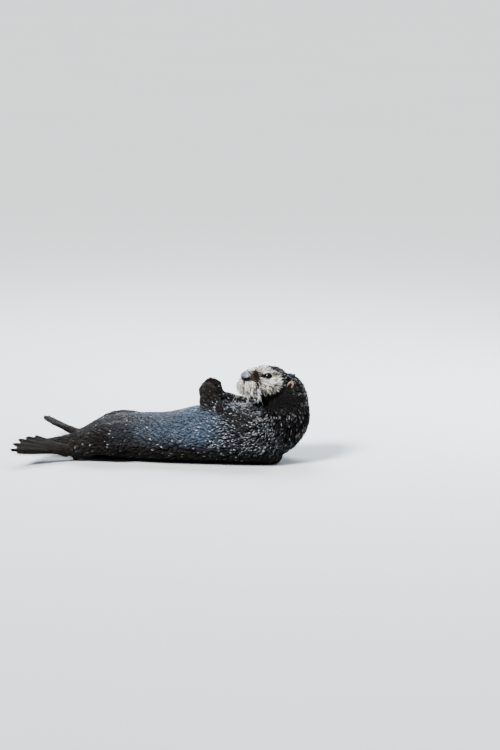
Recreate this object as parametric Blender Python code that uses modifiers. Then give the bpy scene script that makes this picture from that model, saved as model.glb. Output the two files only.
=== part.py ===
"""Sea otter, life size, lying on its back as it floats: chest up, both forepaws raised over the chest, the neck
curled up behind and the head upright above it, turned to its own left and tipped up a little.

Metres, +Z up. +X runs from the tail to the shoulders and the otter's left side faces -Y. The flesh is modelled
whole, to the tips of the coat: tapering lofts and balls are fused into one skin, set down on flats at Z = 0, and
then parted into its named pieces with thin cuts.
"""

import math
from dataclasses import dataclass

import bmesh
import bpy
from mathutils import Matrix, Vector

# --- driving sizes -------------------------------------------------------------------------------------------
FLOOR = 0.0
GAP = 0.0003  # between neighbouring pieces
VOXEL = 0.0032  # grain of the fused skin
SMOOTHING_ROUNDS = 7  # rounds that fillet one form into the next
SKIN_TRIANGLES = 4450
FLAT_SNAP = 0.0006  # points this near the floor are set on it

CHEST_TOP = 0.190
BELLY_TOP = 0.147
TRUNK_HALF_WIDTH = 0.140
BACK_PRESS = -0.006  # how far the round of the back would reach below the floor
TAIL_PRESS = -0.003

HEAD_CENTRE = Vector((0.244, 0.000, 0.2766))
HEAD_TURN = math.radians(230)  # the way the nose points, about +Z from +X
HEAD_TIP = math.radians(14)  # nose above the level
CM = 0.01  # the head's forms are laid out in centimetres: forward, left, up

EYE_RADIUS = 0.0115
EYE_SINK = 0.0070  # depth of the eyeball's centre below the face
EAR_RADII = Vector((0.0075, 0.0115, 0.0140))
EAR_CUP = 0.0065

PAW_DIGITS = (0.002, 0.013, 0.018, 0.015, 0.004)  # reach of each digit past the palm, thumb first
PAW_DIGIT_RADIUS = 0.0090
PAW_DIGIT_PITCH = 0.0122
FOOT_TOES = (0.128, 0.156, 0.181, 0.203, 0.218)  # length of each toe from the ankle, inner toe first
FOOT_TOE_RADIUS = 0.0096
FOOT_FAN = math.radians(38)  # between the inner and the outer toe
WEB_THICKNESS = 0.0085
WEB_REACH = 0.93  # of the toe's length

HEAD_FLOOR = 0.199  # level of the cut between the jaw and the chest
HEAD_ROOM = 0.40  # width of the box that the head is cut off with
HEAD_CUT_POINT = Vector((-4.6, 0.0, -3.0))  # in the head's centimetres, as is the normal
HEAD_CUT_NORMAL = Vector((0.84, 0.0, 0.54)).normalized()
NECK_CUT_POINT, NECK_CUT_NORMAL = (0.285, 0.0, 0.135), (0.80, 0.0, 0.60)
TAIL_CUT_X, TAIL_CUT_WIDTH = -0.392, 0.136
ANKLE_TO_CUT, FOOT_ROOM = 0.012, 0.27
LIMB_EASE = 0.005  # how much wider than the limb its cutting sleeve is

LEFT, RIGHT = -1, 1  # the sign of Y on each side
WRISTS = {LEFT: Vector((0.050, -0.037, 0.198)), RIGHT: Vector((0.052, -0.037, 0.202))}  # both as on the left
FORELEG_SINK = {LEFT: 0.026, RIGHT: 0.006}  # how deep each foreleg is sunk in the loose skin of the chest
SIDES = (("left", LEFT), ("right", RIGHT))


@dataclass
class Ring:
    """One cross-section of a loft: an oval about `centre`, `wide` to each side, `up` above and `down` below."""

    centre: Vector
    wide: float
    up: float
    down: float
    side: Vector = None  # the direction that `wide` is measured along


def trunk_ring(x, wide, top, bottom, y=0.0, level=0.46):
    """A ring that stands upright across the body, its widest line at `level` of its height."""
    middle = bottom + level * (top - bottom)
    return Ring(Vector((x, y, middle)), wide, top - middle, middle - bottom, Vector((0, 1, 0)))


def limb_ring(centre, wide, thick=None, side=(0, 1, 0)):
    thick = wide if thick is None else thick
    return Ring(Vector(centre), wide, thick, thick, Vector(side))


def between(a, b, c, d, t):
    """Catmull-Rom from b to c, for numbers and vectors alike."""
    return 0.5 * ((2 * b) + (c - a) * t + (2 * a - 5 * b + 4 * c - d) * t**2 + (3 * b - a - 3 * c + d) * t**3)


def refine(rings, steps):
    """The same loft with `steps` rings for each one given, on smooth curves through them."""
    fine = []
    for i in range(len(rings) - 1):
        near = [rings[min(max(j, 0), len(rings) - 1)] for j in (i - 1, i, i + 1, i + 2)]
        for k in range(steps):
            values = {}
            for field in ("centre", "wide", "up", "down", "side"):
                values[field] = between(*(getattr(ring, field) for ring in near), k / steps)
            fine.append(Ring(**values))
    return [*fine, rings[-1]]


class Flesh:
    """Overlapping forms gathered in one mesh, to be fused."""

    def __init__(self):
        self.mesh = bmesh.new()

    def ball(self, centre, radii, frame=None):
        """An ellipsoid; with a frame, centre and radii are in that frame."""
        place = Matrix.Translation(Vector(centre)) @ Matrix.Diagonal((*radii, 1.0))
        place = place if frame is None else frame @ place
        bmesh.ops.create_uvsphere(self.mesh, u_segments=28, v_segments=18, radius=1.0, matrix=place)

    def bone(self, start, end, start_radius, end_radius):
        """A tapering round-ended rod."""
        start, end = Vector(start), Vector(end)
        along = end - start
        turn = along.to_track_quat("Z", "Y").to_matrix().to_4x4()
        bmesh.ops.create_cone(
            self.mesh,
            cap_ends=True,
            segments=14,
            radius1=start_radius,
            radius2=end_radius,
            depth=along.length,
            matrix=Matrix.Translation((start + end) / 2) @ turn,
        )
        self.ball(start, (start_radius,) * 3)
        self.ball(end, (end_radius,) * 3)

    def slab(self, corners, thickness, normal):
        """A flat plate through `corners`, closed by the hull round both its faces."""
        offset = normal.normalized() * thickness / 2
        points = [self.mesh.verts.new(corner + sign * offset) for corner in corners for sign in (-1, 1)]
        bmesh.ops.convex_hull(self.mesh, input=points)

    def loft(self, rings, steps=4, sides=30, grow=0.0):
        """A closed tube through the rings, square to their path; `grow` thickens it all round."""
        rings = refine(rings, steps)
        loops, last_up = [], Vector((0, 0, 1))
        for i, ring in enumerate(rings):
            along = (rings[min(i + 1, len(rings) - 1)].centre - rings[max(i - 1, 0)].centre).normalized()
            side = (ring.side - along * ring.side.dot(along)).normalized()
            up = along.cross(side)
            if up.dot(last_up) < 0:
                up, side = -up, -side
            last_up = up
            end = {0: -grow, len(rings) - 1: grow}.get(i, 0.0)
            loop = []
            for k in range(sides):
                angle = 2 * math.pi * k / sides
                height = ring.up if math.sin(angle) > 0 else ring.down
                offset = side * (ring.wide + grow) * math.cos(angle) + up * (height + grow) * math.sin(angle)
                loop.append(self.mesh.verts.new(ring.centre + offset + along * end))
            loops.append(loop)
        for near, far in zip(loops, loops[1:]):
            for k in range(sides):
                j = (k + 1) % sides
                self.mesh.faces.new((near[k], near[j], far[j]))
                self.mesh.faces.new((near[k], far[j], far[k]))
        self.mesh.faces.new(loops[0][::-1])
        self.mesh.faces.new(loops[-1])

    def to_object(self, name, collection):
        return object_of(self.mesh, name, collection)


# --- scene and mesh helpers ----------------------------------------------------------------------------------
def object_of(shape, name, collection):
    """A new object with this bmesh, its faces turned outwards."""
    bmesh.ops.recalc_face_normals(shape, faces=shape.faces)
    data = bpy.data.meshes.new(name)
    shape.to_mesh(data)
    shape.free()
    made = bpy.data.objects.new(name, data)
    collection.objects.link(made)
    return made


def new_collection(name):
    made = bpy.data.collections.new(name)
    bpy.context.scene.collection.children.link(made)
    return made


def as_helper(obj):
    obj.hide_render = True
    obj.display_type = "WIRE"
    return obj


def settle(obj):
    """Applies the object's modifiers."""
    graph = bpy.context.evaluated_depsgraph_get()
    graph.update()
    result = bpy.data.meshes.new_from_object(obj.evaluated_get(graph))
    obj.modifiers.clear()
    obj.data = result


def fuse(obj):
    """One skin round all the forms, with the joins filleted."""
    remesh = obj.modifiers.new("fuse", "REMESH")
    remesh.mode = "VOXEL"
    remesh.voxel_size = VOXEL
    smooth = obj.modifiers.new("fillet", "SMOOTH")
    smooth.factor = 0.5
    smooth.iterations = SMOOTHING_ROUNDS
    settle(obj)


def set_on_floor(obj):
    """Cuts away what reaches below the floor and closes the flats."""
    shape = bmesh.new()
    shape.from_mesh(obj.data)
    everything = [*shape.verts, *shape.edges, *shape.faces]
    cut = bmesh.ops.bisect_plane(
        shape, geom=everything, plane_co=(0, 0, FLOOR), plane_no=(0, 0, -1), clear_outer=True, dist=1e-6
    )
    rim = [item for item in cut["geom_cut"] if isinstance(item, bmesh.types.BMEdge)]
    bmesh.ops.triangle_fill(shape, edges=rim, use_beauty=True)
    bmesh.ops.recalc_face_normals(shape, faces=shape.faces)
    bmesh.ops.triangulate(shape, faces=shape.faces)
    shape.to_mesh(obj.data)
    shape.free()


def thin_out(obj, triangles):
    """Collapses the skin to about this many triangles, and sets its lowest points on the floor again."""
    decimate = obj.modifiers.new("thin", "DECIMATE")
    decimate.ratio = triangles / len(obj.data.polygons)
    settle(obj)
    for point in obj.data.vertices:
        if point.co.z < FLOOR + FLAT_SNAP:
            point.co.z = FLOOR


def keep_largest(obj):
    """Leaves only the largest of the separate bodies in a mesh, dropping the crumbs of a cut."""
    shape = bmesh.new()
    shape.from_mesh(obj.data)
    left, bodies = set(shape.verts), []
    while left:
        reached, front = set(), [left.pop()]
        while front:
            vert = front.pop()
            reached.add(vert)
            nearby = {edge.other_vert(vert) for edge in vert.link_edges} & left
            left -= nearby
            front.extend(nearby)
        bodies.append(reached)
    bodies.sort(key=len, reverse=True)
    crumbs = [vert for body in bodies[1:] for vert in body]
    bmesh.ops.delete(shape, geom=crumbs, context="VERTS")
    shape.to_mesh(obj.data)
    shape.free()


def cut(obj, cutter, operation):
    boolean = obj.modifiers.new("cut", "BOOLEAN")
    boolean.operation = operation
    boolean.object = cutter
    settle(obj)
    keep_largest(obj)


def part_off(rest, name, region, collection):
    """Takes the piece inside region(0) off `rest`, and leaves `rest` clear of it by the gap."""
    piece = bpy.data.objects.new(name, rest.data.copy())
    collection.objects.link(piece)
    cut(piece, region(0.0), "INTERSECT")
    cut(rest, region(GAP), "DIFFERENCE")
    return piece


def material(name, colour, roughness, metallic=0.0):
    made = bpy.data.materials.new(name)
    made.use_nodes = True
    shader = made.node_tree.nodes["Principled BSDF"]
    shader.inputs["Base Color"].default_value = (*colour, 1.0)
    shader.inputs["Roughness"].default_value = roughness
    shader.inputs["Metallic"].default_value = metallic
    return made


def mirrored(point, sign):
    """A point given for the left side (Y negative), on the side of that sign."""
    return Vector((point[0], point[1] * -sign, point[2]))


# --- the forms of the body -----------------------------------------------------------------------------------
def head_frame():
    """Forward, left and up of the head, in centimetres, to the body's frame in metres."""
    turn = Matrix.Rotation(HEAD_TURN, 4, "Z") @ Matrix.Rotation(-HEAD_TIP, 4, "Y")
    return Matrix.Translation(HEAD_CENTRE) @ turn @ Matrix.Scale(CM, 4)


HEAD = head_frame()

# Centre and radii of each form of the head, in its own centimetres. A form with a sideways place is on both sides.
HEAD_FORMS = (
    ((-1.4, 0.0, -0.4), (6.0, 6.9, 5.0)),  # cranium
    ((1.6, 0.0, 0.6), (4.4, 4.9, 3.9)),  # forehead
    ((0.8, 4.2, -2.9), (4.6, 3.3, 4.0)),  # cheek
    ((2.3, 2.4, 0.8), (2.6, 2.0, 2.0)),  # brow and orbit
    ((5.6, 0.0, 0.7), (4.9, 2.9, 3.1)),  # bridge of the muzzle
    ((4.6, 1.9, -1.6), (3.8, 2.9, 2.8)),  # side of the muzzle
    ((7.5, 2.1, -3.0), (2.8, 2.8, 2.8)),  # whisker pad
    ((9.3, 0.0, -1.5), (1.2, 1.8, 1.5)),  # upper lip, under the nose
    ((5.9, 0.0, -5.4), (3.0, 2.5, 1.8)),  # chin
    ((2.4, 0.0, -5.0), (4.8, 3.9, 2.4)),  # lower jaw
)
NOSE_CENTRE, NOSE_RADII = (10.15, 0.0, 0.25), (1.05, 2.05, 1.60)
EYE_PLACE, EYE_OUTWARD = (4.05, 3.95, 1.50), Vector((0.62, 0.72, 0.30)).normalized()
EAR_PLACE, EAR_OPENING, EAR_LEAN = (-3.4, 7.3, -0.35), Vector((0.62, 0.76, -0.05)), Vector((-0.35, 0.10, 0.94))

TRUNK_AND_TAIL = [
    trunk_ring(0.292, 0.094, 0.165, 0.004),
    trunk_ring(0.262, 0.110, 0.181, BACK_PRESS),
    trunk_ring(0.200, 0.125, CHEST_TOP, BACK_PRESS),
    trunk_ring(0.115, 0.135, CHEST_TOP, BACK_PRESS),
    trunk_ring(0.025, TRUNK_HALF_WIDTH, 0.183, BACK_PRESS),
    trunk_ring(-0.045, TRUNK_HALF_WIDTH, 0.164, BACK_PRESS),
    trunk_ring(-0.105, 0.139, 0.151, BACK_PRESS),
    trunk_ring(-0.185, 0.135, BELLY_TOP, BACK_PRESS),
    trunk_ring(-0.265, 0.121, 0.141, BACK_PRESS),
    trunk_ring(-0.325, 0.096, 0.123, BACK_PRESS),
    trunk_ring(-0.375, 0.064, 0.094, -0.002),
    trunk_ring(-0.415, 0.046, 0.071, -0.002, -0.001),
    trunk_ring(-0.470, 0.039, 0.056, TAIL_PRESS, -0.005),
    trunk_ring(-0.530, 0.034, 0.045, TAIL_PRESS, -0.017),
    trunk_ring(-0.580, 0.026, 0.034, TAIL_PRESS, -0.034),
    trunk_ring(-0.610, 0.013, 0.021, -0.001, -0.047),
]

NECK = [
    limb_ring((0.165, 0.000, 0.098), 0.118, 0.090),
    limb_ring((0.235, 0.000, 0.104), 0.114, 0.099),
    limb_ring((0.284, 0.002, 0.150), 0.104, 0.096),
    limb_ring((0.291, 0.012, 0.194), 0.090, 0.084, (-0.35, 0.94, 0)),
    limb_ring((0.286, 0.024, 0.230), 0.076, 0.074, (-0.60, 0.80, 0)),
    limb_ring((0.266, 0.024, 0.256), 0.060, 0.058, (-0.77, 0.64, 0)),
]


def foreleg_rings(sign):
    """From the shoulder down the side of the chest to the elbow, and along the top of the chest to the wrist."""
    wrist, sink = WRISTS[sign], FORELEG_SINK[sign]
    return [
        limb_ring(mirrored((0.236, -0.078, 0.112), sign), 0.048),
        limb_ring(mirrored((0.206, -0.092, 0.138 - sink / 2), sign), 0.041),
        limb_ring(mirrored((0.172, -0.080, 0.164 - sink), sign), 0.034),
        limb_ring(mirrored((0.132, -0.058, 0.186 - sink), sign), 0.029, 0.027),
        limb_ring(mirrored(wrist + Vector((0.034, -0.007, -0.003 - sink / 3)), sign), 0.027, 0.024),
        limb_ring(mirrored(wrist, sign), 0.025, 0.023),
    ]


def paw_frame(sign):
    """Origin at the wrist, X across the palm, Y through it and Z along the raised paw."""
    along = Vector((-0.10, -0.10 * sign, 0.98)).normalized()
    across = Vector((1.0, 0.20 * sign, 0.0))
    across = (across - along * across.dot(along)).normalized()
    through = along.cross(across)
    wrist = mirrored(WRISTS[sign], sign)
    return Matrix.Translation(wrist) @ Matrix((across, through, along)).transposed().to_4x4()


def paw_rings(sign):
    """A sleeve round the raised paw, from its heel to past its tips."""
    frame = paw_frame(sign)
    across = frame.to_3x3() @ Vector((1, 0, 0))
    sizes = ((-0.024, 0.020, 0.018), (-0.008, 0.043, 0.032), (0.030, 0.041, 0.027), (0.088, 0.037, 0.022))
    return [limb_ring(frame @ Vector((0, 0, z)), wide, thick, across) for z, wide, thick in sizes]


def add_forepaw(flesh, sign):
    """A mitten of a paw: a thick heel and palm, and five short digits that hardly part."""
    frame = paw_frame(sign)
    flesh.ball((0.004, 0.0, 0.004), (0.038, 0.025, 0.029), frame)
    flesh.ball((0.001, 0.0, 0.031), (0.0335, 0.0190, 0.029), frame)
    for i, reach in enumerate(PAW_DIGITS):
        offset = (len(PAW_DIGITS) - 1) / 2 - i
        root = frame @ Vector((offset * PAW_DIGIT_PITCH * 0.95, 0.0, 0.032))
        tip = frame @ Vector((offset * PAW_DIGIT_PITCH, 0.001, 0.044 + reach))
        flesh.bone(root, tip, PAW_DIGIT_RADIUS * 1.1, PAW_DIGIT_RADIUS)


def hindleg_rings(sign):
    """From the hip along the flank to the knee, and back to the ankle beside the tail."""
    return [
        limb_ring(mirrored((-0.215, -0.070, 0.072), sign), 0.062),
        limb_ring(mirrored((-0.265, -0.096, 0.076), sign), 0.058),
        limb_ring(mirrored((-0.318, -0.106, 0.070), sign), 0.048),
        limb_ring(mirrored((-0.365, -0.104, 0.047), sign), 0.037),
        limb_ring(mirrored((-0.402, -0.106, 0.030), sign), 0.029, 0.026),
    ]


def foot_frame(sign):
    """Origin at the ankle, X along the foot, Y out to its long outer toe and Z up from its back."""
    along = mirrored((-0.90, -0.34, 0.26), sign).normalized()
    outward = mirrored((-0.25, -0.95, -0.12), sign)
    outward = (outward - along * outward.dot(along)).normalized()
    ankle = hindleg_rings(sign)[-1].centre
    upward = along.cross(outward)
    upward = upward if upward.z > 0 else -upward
    return Matrix.Translation(ankle) @ Matrix((along, outward, upward)).transposed().to_4x4()


def toe_line(sign, i):
    """Root and tip of a toe of the hind foot."""
    turn = FOOT_FAN * (i / (len(FOOT_TOES) - 1) - 0.5)
    direction = Vector((math.cos(turn), math.sin(turn), 0.0))
    root_across = (i - (len(FOOT_TOES) - 1) / 2) * 0.0100
    root = Vector((0.045, root_across, 0.0))
    frame = foot_frame(sign)
    tip = root + direction * (FOOT_TOES[i] - 0.045)
    return frame @ root, frame @ tip


def add_hind_foot(flesh, sign):
    frame = foot_frame(sign)
    flesh.ball((-0.004, 0.0, -0.004), (0.030, 0.027, 0.024), frame)
    flesh.ball((0.028, 0.001, -0.001), (0.043, 0.031, 0.018), frame)
    flesh.ball((0.066, 0.002, 0.0), (0.048, 0.037, 0.013), frame)
    lines = [toe_line(sign, i) for i in range(len(FOOT_TOES))]
    for root, tip in lines:
        flesh.bone(root, tip, FOOT_TOE_RADIUS, FOOT_TOE_RADIUS * 0.78)
    normal = frame.to_3x3() @ Vector((0, 0, 1))
    for (root, tip), (next_root, next_tip) in zip(lines, lines[1:]):
        corners = [root, next_root, next_root.lerp(next_tip, WEB_REACH), root.lerp(tip, WEB_REACH)]
        flesh.slab(corners, WEB_THICKNESS, normal)


def add_head(flesh):
    for centre, radii in HEAD_FORMS:
        for flip in (1, -1) if centre[1] else (1,):
            flesh.ball((centre[0], centre[1] * flip, centre[2]), radii, HEAD)


def whole_body(collection):
    flesh = Flesh()
    flesh.loft(TRUNK_AND_TAIL, steps=4, sides=40)
    flesh.loft(NECK, steps=4, sides=36)
    add_head(flesh)
    for _, sign in SIDES:
        flesh.loft(foreleg_rings(sign))
        add_forepaw(flesh, sign)
        flesh.loft(hindleg_rings(sign))
        add_hind_foot(flesh, sign)
    body = flesh.to_object("trunk", collection)
    fuse(body)
    set_on_floor(body)
    thin_out(body, SKIN_TRIANGLES)
    return body


# --- the cuts ------------------------------------------------------------------------------------------------
def half_space(name, point, normal, helpers, size=0.40, width=None):
    """A region that takes all on the far side of a plane, to `size` beyond it and `width` across."""
    width = width or size

    def region(grow):
        direction = Vector(normal).normalized()
        turn = direction.to_track_quat("Z", "Y").to_matrix().to_4x4()
        start = Vector(point) - direction * grow
        place = Matrix.Translation(start) @ turn @ Matrix.Translation((0, 0, size / 2))
        box = bmesh.new()
        bmesh.ops.create_cube(box, size=1.0, matrix=place @ Matrix.Diagonal((width, width, size, 1.0)))
        return as_helper(object_of(box, name, helpers))

    return region


def along_limb(name, rings, ease, helpers):
    """A region that follows a limb's rings, wider than them by `ease`."""

    def region(grow):
        flesh = Flesh()
        flesh.loft(rings, steps=1, sides=10, grow=ease + grow)
        return as_helper(flesh.to_object(name, helpers))

    return region


def head_region(helpers):
    """All above the gap between jaw and chest, forward of a plane from behind the ears to the throat."""

    def region(grow):
        box = bmesh.new()
        low, high = HEAD_FLOOR - grow, HEAD_FLOOR + HEAD_ROOM / 2
        place = Matrix.Translation((HEAD_CENTRE.x, HEAD_CENTRE.y, (low + high) / 2))
        bmesh.ops.create_cube(box, size=1.0, matrix=place @ Matrix.Diagonal((HEAD_ROOM, HEAD_ROOM, high - low, 1.0)))
        normal = HEAD.to_3x3().normalized() @ HEAD_CUT_NORMAL
        point = HEAD @ HEAD_CUT_POINT - normal * grow
        everything = [*box.verts, *box.edges, *box.faces]
        made = bmesh.ops.bisect_plane(box, geom=everything, plane_co=point, plane_no=-normal, clear_outer=True)
        rim = [item for item in made["geom_cut"] if isinstance(item, bmesh.types.BMEdge)]
        bmesh.ops.contextual_create(box, geom=rim)
        return as_helper(object_of(box, "head_region", helpers))

    return region


def part_the_body(body, parts, helpers):
    """Cuts the limbs, tail, head and neck off the body, which is left as the trunk."""
    pieces = {}
    tail = half_space("tail_region", (TAIL_CUT_X, 0, 0.05), (-1, 0, 0), helpers, 0.40, TAIL_CUT_WIDTH)
    pieces["tail"] = part_off(body, "tail", tail, parts)
    for side, sign in SIDES:
        foot = foot_frame(sign)
        back = foot.to_3x3() @ Vector((1, 0, 0))
        region = along_limb("paw_region", paw_rings(sign), 0.0, helpers)
        pieces[f"forepaw_{side}"] = part_off(body, f"forepaw_{side}", region, parts)
        region = along_limb("foreleg_region", foreleg_rings(sign)[1:], LIMB_EASE, helpers)
        pieces[f"foreleg_{side}"] = part_off(body, f"foreleg_{side}", region, parts)
        region = half_space("foot_region", foot.translation + back * ANKLE_TO_CUT, back, helpers, FOOT_ROOM)
        pieces[f"hind_flipper_{side}"] = part_off(body, f"hind_flipper_{side}", region, parts)
        region = along_limb("hindleg_region", hindleg_rings(sign)[1:], LIMB_EASE, helpers)
        pieces[f"hindleg_{side}"] = part_off(body, f"hindleg_{side}", region, parts)
    pieces["head"] = part_off(body, "head", head_region(helpers), parts)
    neck = half_space("neck_region", NECK_CUT_POINT, NECK_CUT_NORMAL, helpers)
    pieces["neck"] = part_off(body, "neck", neck, parts)
    pieces["trunk"] = body
    return pieces


# --- nose, eyes and ears -------------------------------------------------------------------------------------
def ball_object(name, centre, radii, frame, collection, segments=(16, 10)):
    shape = bmesh.new()
    place = frame @ Matrix.Translation(Vector(centre)) @ Matrix.Diagonal((*radii, 1.0))
    bmesh.ops.create_uvsphere(shape, u_segments=segments[0], v_segments=segments[1], radius=1.0, matrix=place)
    return object_of(shape, name, collection)


def seat(head, name, centre, radii, frame, parts, helpers, segments=(16, 10)):
    """A rounded piece let into the head, which is cut clear of it by the gap."""
    scale = frame.to_scale().x
    wider = [radius + GAP / scale for radius in radii]
    cut(head, as_helper(ball_object(f"{name}_seat", centre, wider, frame, helpers, segments)), "DIFFERENCE")
    return ball_object(name, centre, radii, frame, parts, segments)


def ear_frame(flip):
    """Origin at the ear's middle, X out of its opening, Z along its leaning length."""
    opening = Vector((EAR_OPENING.x, EAR_OPENING.y * flip, EAR_OPENING.z)).normalized()
    upward = Vector((EAR_LEAN.x, EAR_LEAN.y * flip, EAR_LEAN.z))
    upward = (upward - opening * upward.dot(opening)).normalized()
    across = upward.cross(opening)
    turn = HEAD.to_3x3().normalized() @ Matrix((opening, across, upward)).transposed()
    place = HEAD @ Vector((EAR_PLACE[0], EAR_PLACE[1] * flip, EAR_PLACE[2]))
    return Matrix.Translation(place) @ turn.to_4x4()


def hollow_ear(ear, frame):
    """Presses the ear's outer face in to a cup, leaving a thick rim."""
    inward = frame.inverted()
    for point in ear.data.vertices:
        local = inward @ point.co
        spread = math.hypot(local.y / EAR_RADII.y, local.z / EAR_RADII.z)
        if local.x > 0 and spread < 0.8:
            local.x -= EAR_CUP * math.cos(spread / 0.8 * math.pi / 2)
            point.co = frame @ local


def add_features(head, parts, helpers):
    pieces = {"nose": seat(head, "nose", NOSE_CENTRE, NOSE_RADII, HEAD, parts, helpers)}
    for side, flip in (("left", 1), ("right", -1)):
        outward = Vector((EYE_OUTWARD.x, EYE_OUTWARD.y * flip, EYE_OUTWARD.z))
        place = Vector((EYE_PLACE[0], EYE_PLACE[1] * flip, EYE_PLACE[2])) - outward * EYE_SINK / CM
        radii = (EYE_RADIUS / CM,) * 3
        pieces[f"eye_{side}"] = seat(head, f"eye_{side}", place, radii, HEAD, parts, helpers, (14, 9))
        frame = ear_frame(flip)
        ear = seat(head, f"ear_{side}", (0, 0, 0), EAR_RADII, frame, parts, helpers, (14, 9))
        hollow_ear(ear, frame)
        pieces[f"ear_{side}"] = ear
    return pieces


# --- finishing -----------------------------------------------------------------------------------------------
def dress(pieces):
    """Gives each piece its own material."""
    dark, grizzled = (0.045, 0.032, 0.026), (0.42, 0.37, 0.31)
    looks = {
        "head": (grizzled, 0.6),
        "neck": (dark, 0.45),
        "nose": ((0.03, 0.028, 0.03), 0.3),
        "eye_left": ((0.01, 0.008, 0.007), 0.08),
        "eye_right": ((0.01, 0.008, 0.007), 0.08),
        "ear_left": ((0.30, 0.22, 0.18), 0.6),
        "ear_right": ((0.30, 0.22, 0.18), 0.6),
    }
    for name, piece in pieces.items():
        colour, roughness = looks.get(name, (dark, 0.45))
        piece.data.materials.clear()
        piece.data.materials.append(material(name, colour, roughness))
        piece.data.shade_smooth()


def centre_over_origin(pieces):
    """Moves all the pieces alike, so that the origin is under the middle of their box, on the floor."""
    points = [point.co for piece in pieces.values() for point in piece.data.vertices]
    low = [min(point[i] for point in points) for i in range(3)]
    high = [max(point[i] for point in points) for i in range(3)]
    shift = Matrix.Translation((-(low[0] + high[0]) / 2, -(low[1] + high[1]) / 2, -low[2]))
    for piece in pieces.values():
        piece.data.transform(shift)


def main():
    for obj in list(bpy.data.objects):
        bpy.data.objects.remove(obj)
    parts, helpers = new_collection("sea_otter"), new_collection("cutters")
    body = whole_body(parts)
    pieces = part_the_body(body, parts, helpers)
    pieces.update(add_features(pieces["head"], parts, helpers))
    dress(pieces)
    centre_over_origin(pieces)


main()
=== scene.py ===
"""Looks of a life-size sea otter that lies on its back, with both forepaws held up over the chest.

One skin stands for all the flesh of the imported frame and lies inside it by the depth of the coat. Over it
lies the coat, as thin closed locks that follow the way the hair grows. The nose pad, eyes, lid rims, ears,
whiskers and claws are pieces of their own. Metres, +Z up; the head has its own axes (forward, left, up), in
centimetres.
"""

import logging
import math
from dataclasses import dataclass, field
from enum import Enum
from typing import Callable, Iterable, Sequence

import bmesh
import bpy
import numpy as np
from mathutils import Matrix, Vector
from mathutils.bvhtree import BVHTree
from mathutils.kdtree import KDTree


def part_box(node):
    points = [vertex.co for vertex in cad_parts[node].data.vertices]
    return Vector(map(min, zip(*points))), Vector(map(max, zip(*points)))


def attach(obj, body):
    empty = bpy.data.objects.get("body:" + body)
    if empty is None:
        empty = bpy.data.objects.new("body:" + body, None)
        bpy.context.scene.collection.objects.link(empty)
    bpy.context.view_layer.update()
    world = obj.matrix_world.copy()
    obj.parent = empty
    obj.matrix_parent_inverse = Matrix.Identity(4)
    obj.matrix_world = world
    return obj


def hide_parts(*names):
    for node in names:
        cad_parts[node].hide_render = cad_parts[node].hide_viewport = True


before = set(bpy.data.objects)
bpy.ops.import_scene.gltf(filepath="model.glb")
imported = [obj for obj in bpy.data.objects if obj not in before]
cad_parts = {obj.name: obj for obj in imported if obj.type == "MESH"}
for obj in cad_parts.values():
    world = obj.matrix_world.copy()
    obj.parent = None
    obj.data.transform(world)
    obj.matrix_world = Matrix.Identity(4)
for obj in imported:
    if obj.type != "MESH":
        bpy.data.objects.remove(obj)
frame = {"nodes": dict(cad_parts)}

Array = np.ndarray
Colour = tuple[float, float, float]
LOG = logging.getLogger("sea_otter")
BODY = "root"
CM = 0.01
MM = 0.001
SIDES = (("left", 1.0), ("right", -1.0))  # the sign of the head's left axis
LIMBS = ("foreleg", "forepaw", "hindleg", "hind_flipper")
FLESH = ("head", "neck", "trunk", "tail", *(f"{limb}_{side}" for limb in LIMBS for side, _ in SIDES))
RANDOM_SEED = 20
LOCK_POINTS = 7  # three round the root, three round the middle, and the tip
LOCK_FACES = (
    (0, 2, 5), (0, 5, 3), (2, 1, 4), (2, 4, 5), (1, 0, 3), (1, 3, 4),
    (3, 5, 6), (5, 4, 6), (4, 3, 6), (0, 1, 2),
)  # fmt: skip
LANE = 1.1  # from one limb's map to the next, where each map is 1 wide


# --- small helpers ---
def unit(vectors: Array) -> Array:
    """The same directions at length one."""
    return vectors / np.maximum(np.linalg.norm(vectors, axis=-1, keepdims=True), 1e-12)


def ease(low: float, high: float, values: Array) -> Array:
    """A smooth ramp from 0 at low to 1 at high."""
    t = np.clip((values - low) / (high - low), 0.0, 1.0)
    return t * t * (3.0 - 2.0 * t)


def blend(a: Array, b: Array, share: Array) -> Array:
    """a where share is 0 and b where it is 1."""
    return a + (b - a) * share


def bell(values: Array, width: float) -> Array:
    """1 where the values are 0, falling to about a third where they reach the width."""
    return np.exp(-((values / width) ** 2))


def near(points: Array, centre: Sequence[float], radii: Sequence[float]) -> Array:
    """A soft ball: 1 at the centre, falling to about a third at the radii."""
    away = (points - np.array(centre)) / np.array(radii)
    return np.exp(-(away**2).sum(axis=1))


def fold(head: Array) -> Array:
    """Places in the head's centimetres, with the right side laid on the left."""
    return np.where((False, True, False), np.abs(head), head)


def along_line(points: Array, line: Sequence[Sequence[float]]) -> Array:
    """Distance of each point from a line through several points.

    Args:
        points: The places, one a row.
        line: The corners of the line.

    Returns:
        One distance a point.
    """
    best = np.full(len(points), np.inf)
    for start, end in zip(np.array(line[:-1], float), np.array(line[1:], float)):
        step = end - start
        t = np.clip((points - start) @ step / (step @ step), 0.0, 1.0)
        best = np.minimum(best, np.linalg.norm(points - (start + t[:, None] * step), axis=1))
    return best


def ripple(points: Array, pitch: float, seed: int) -> Array:
    """Soft random variation over space, from about -1 to 1.

    Args:
        points: The places, one a row, in metres.
        pitch: The size of its blotches, in metres.
        seed: Picks one pattern out of many.

    Returns:
        One value a point.
    """
    dice = np.random.default_rng(seed)
    total = np.zeros(len(points))
    for _ in range(9):
        wave = unit(dice.normal(size=3)) * (2.0 * math.pi / pitch) * dice.uniform(0.6, 1.5)
        total += np.sin(points @ wave + dice.uniform(0.0, 2.0 * math.pi))
    return total / 3.0


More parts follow.
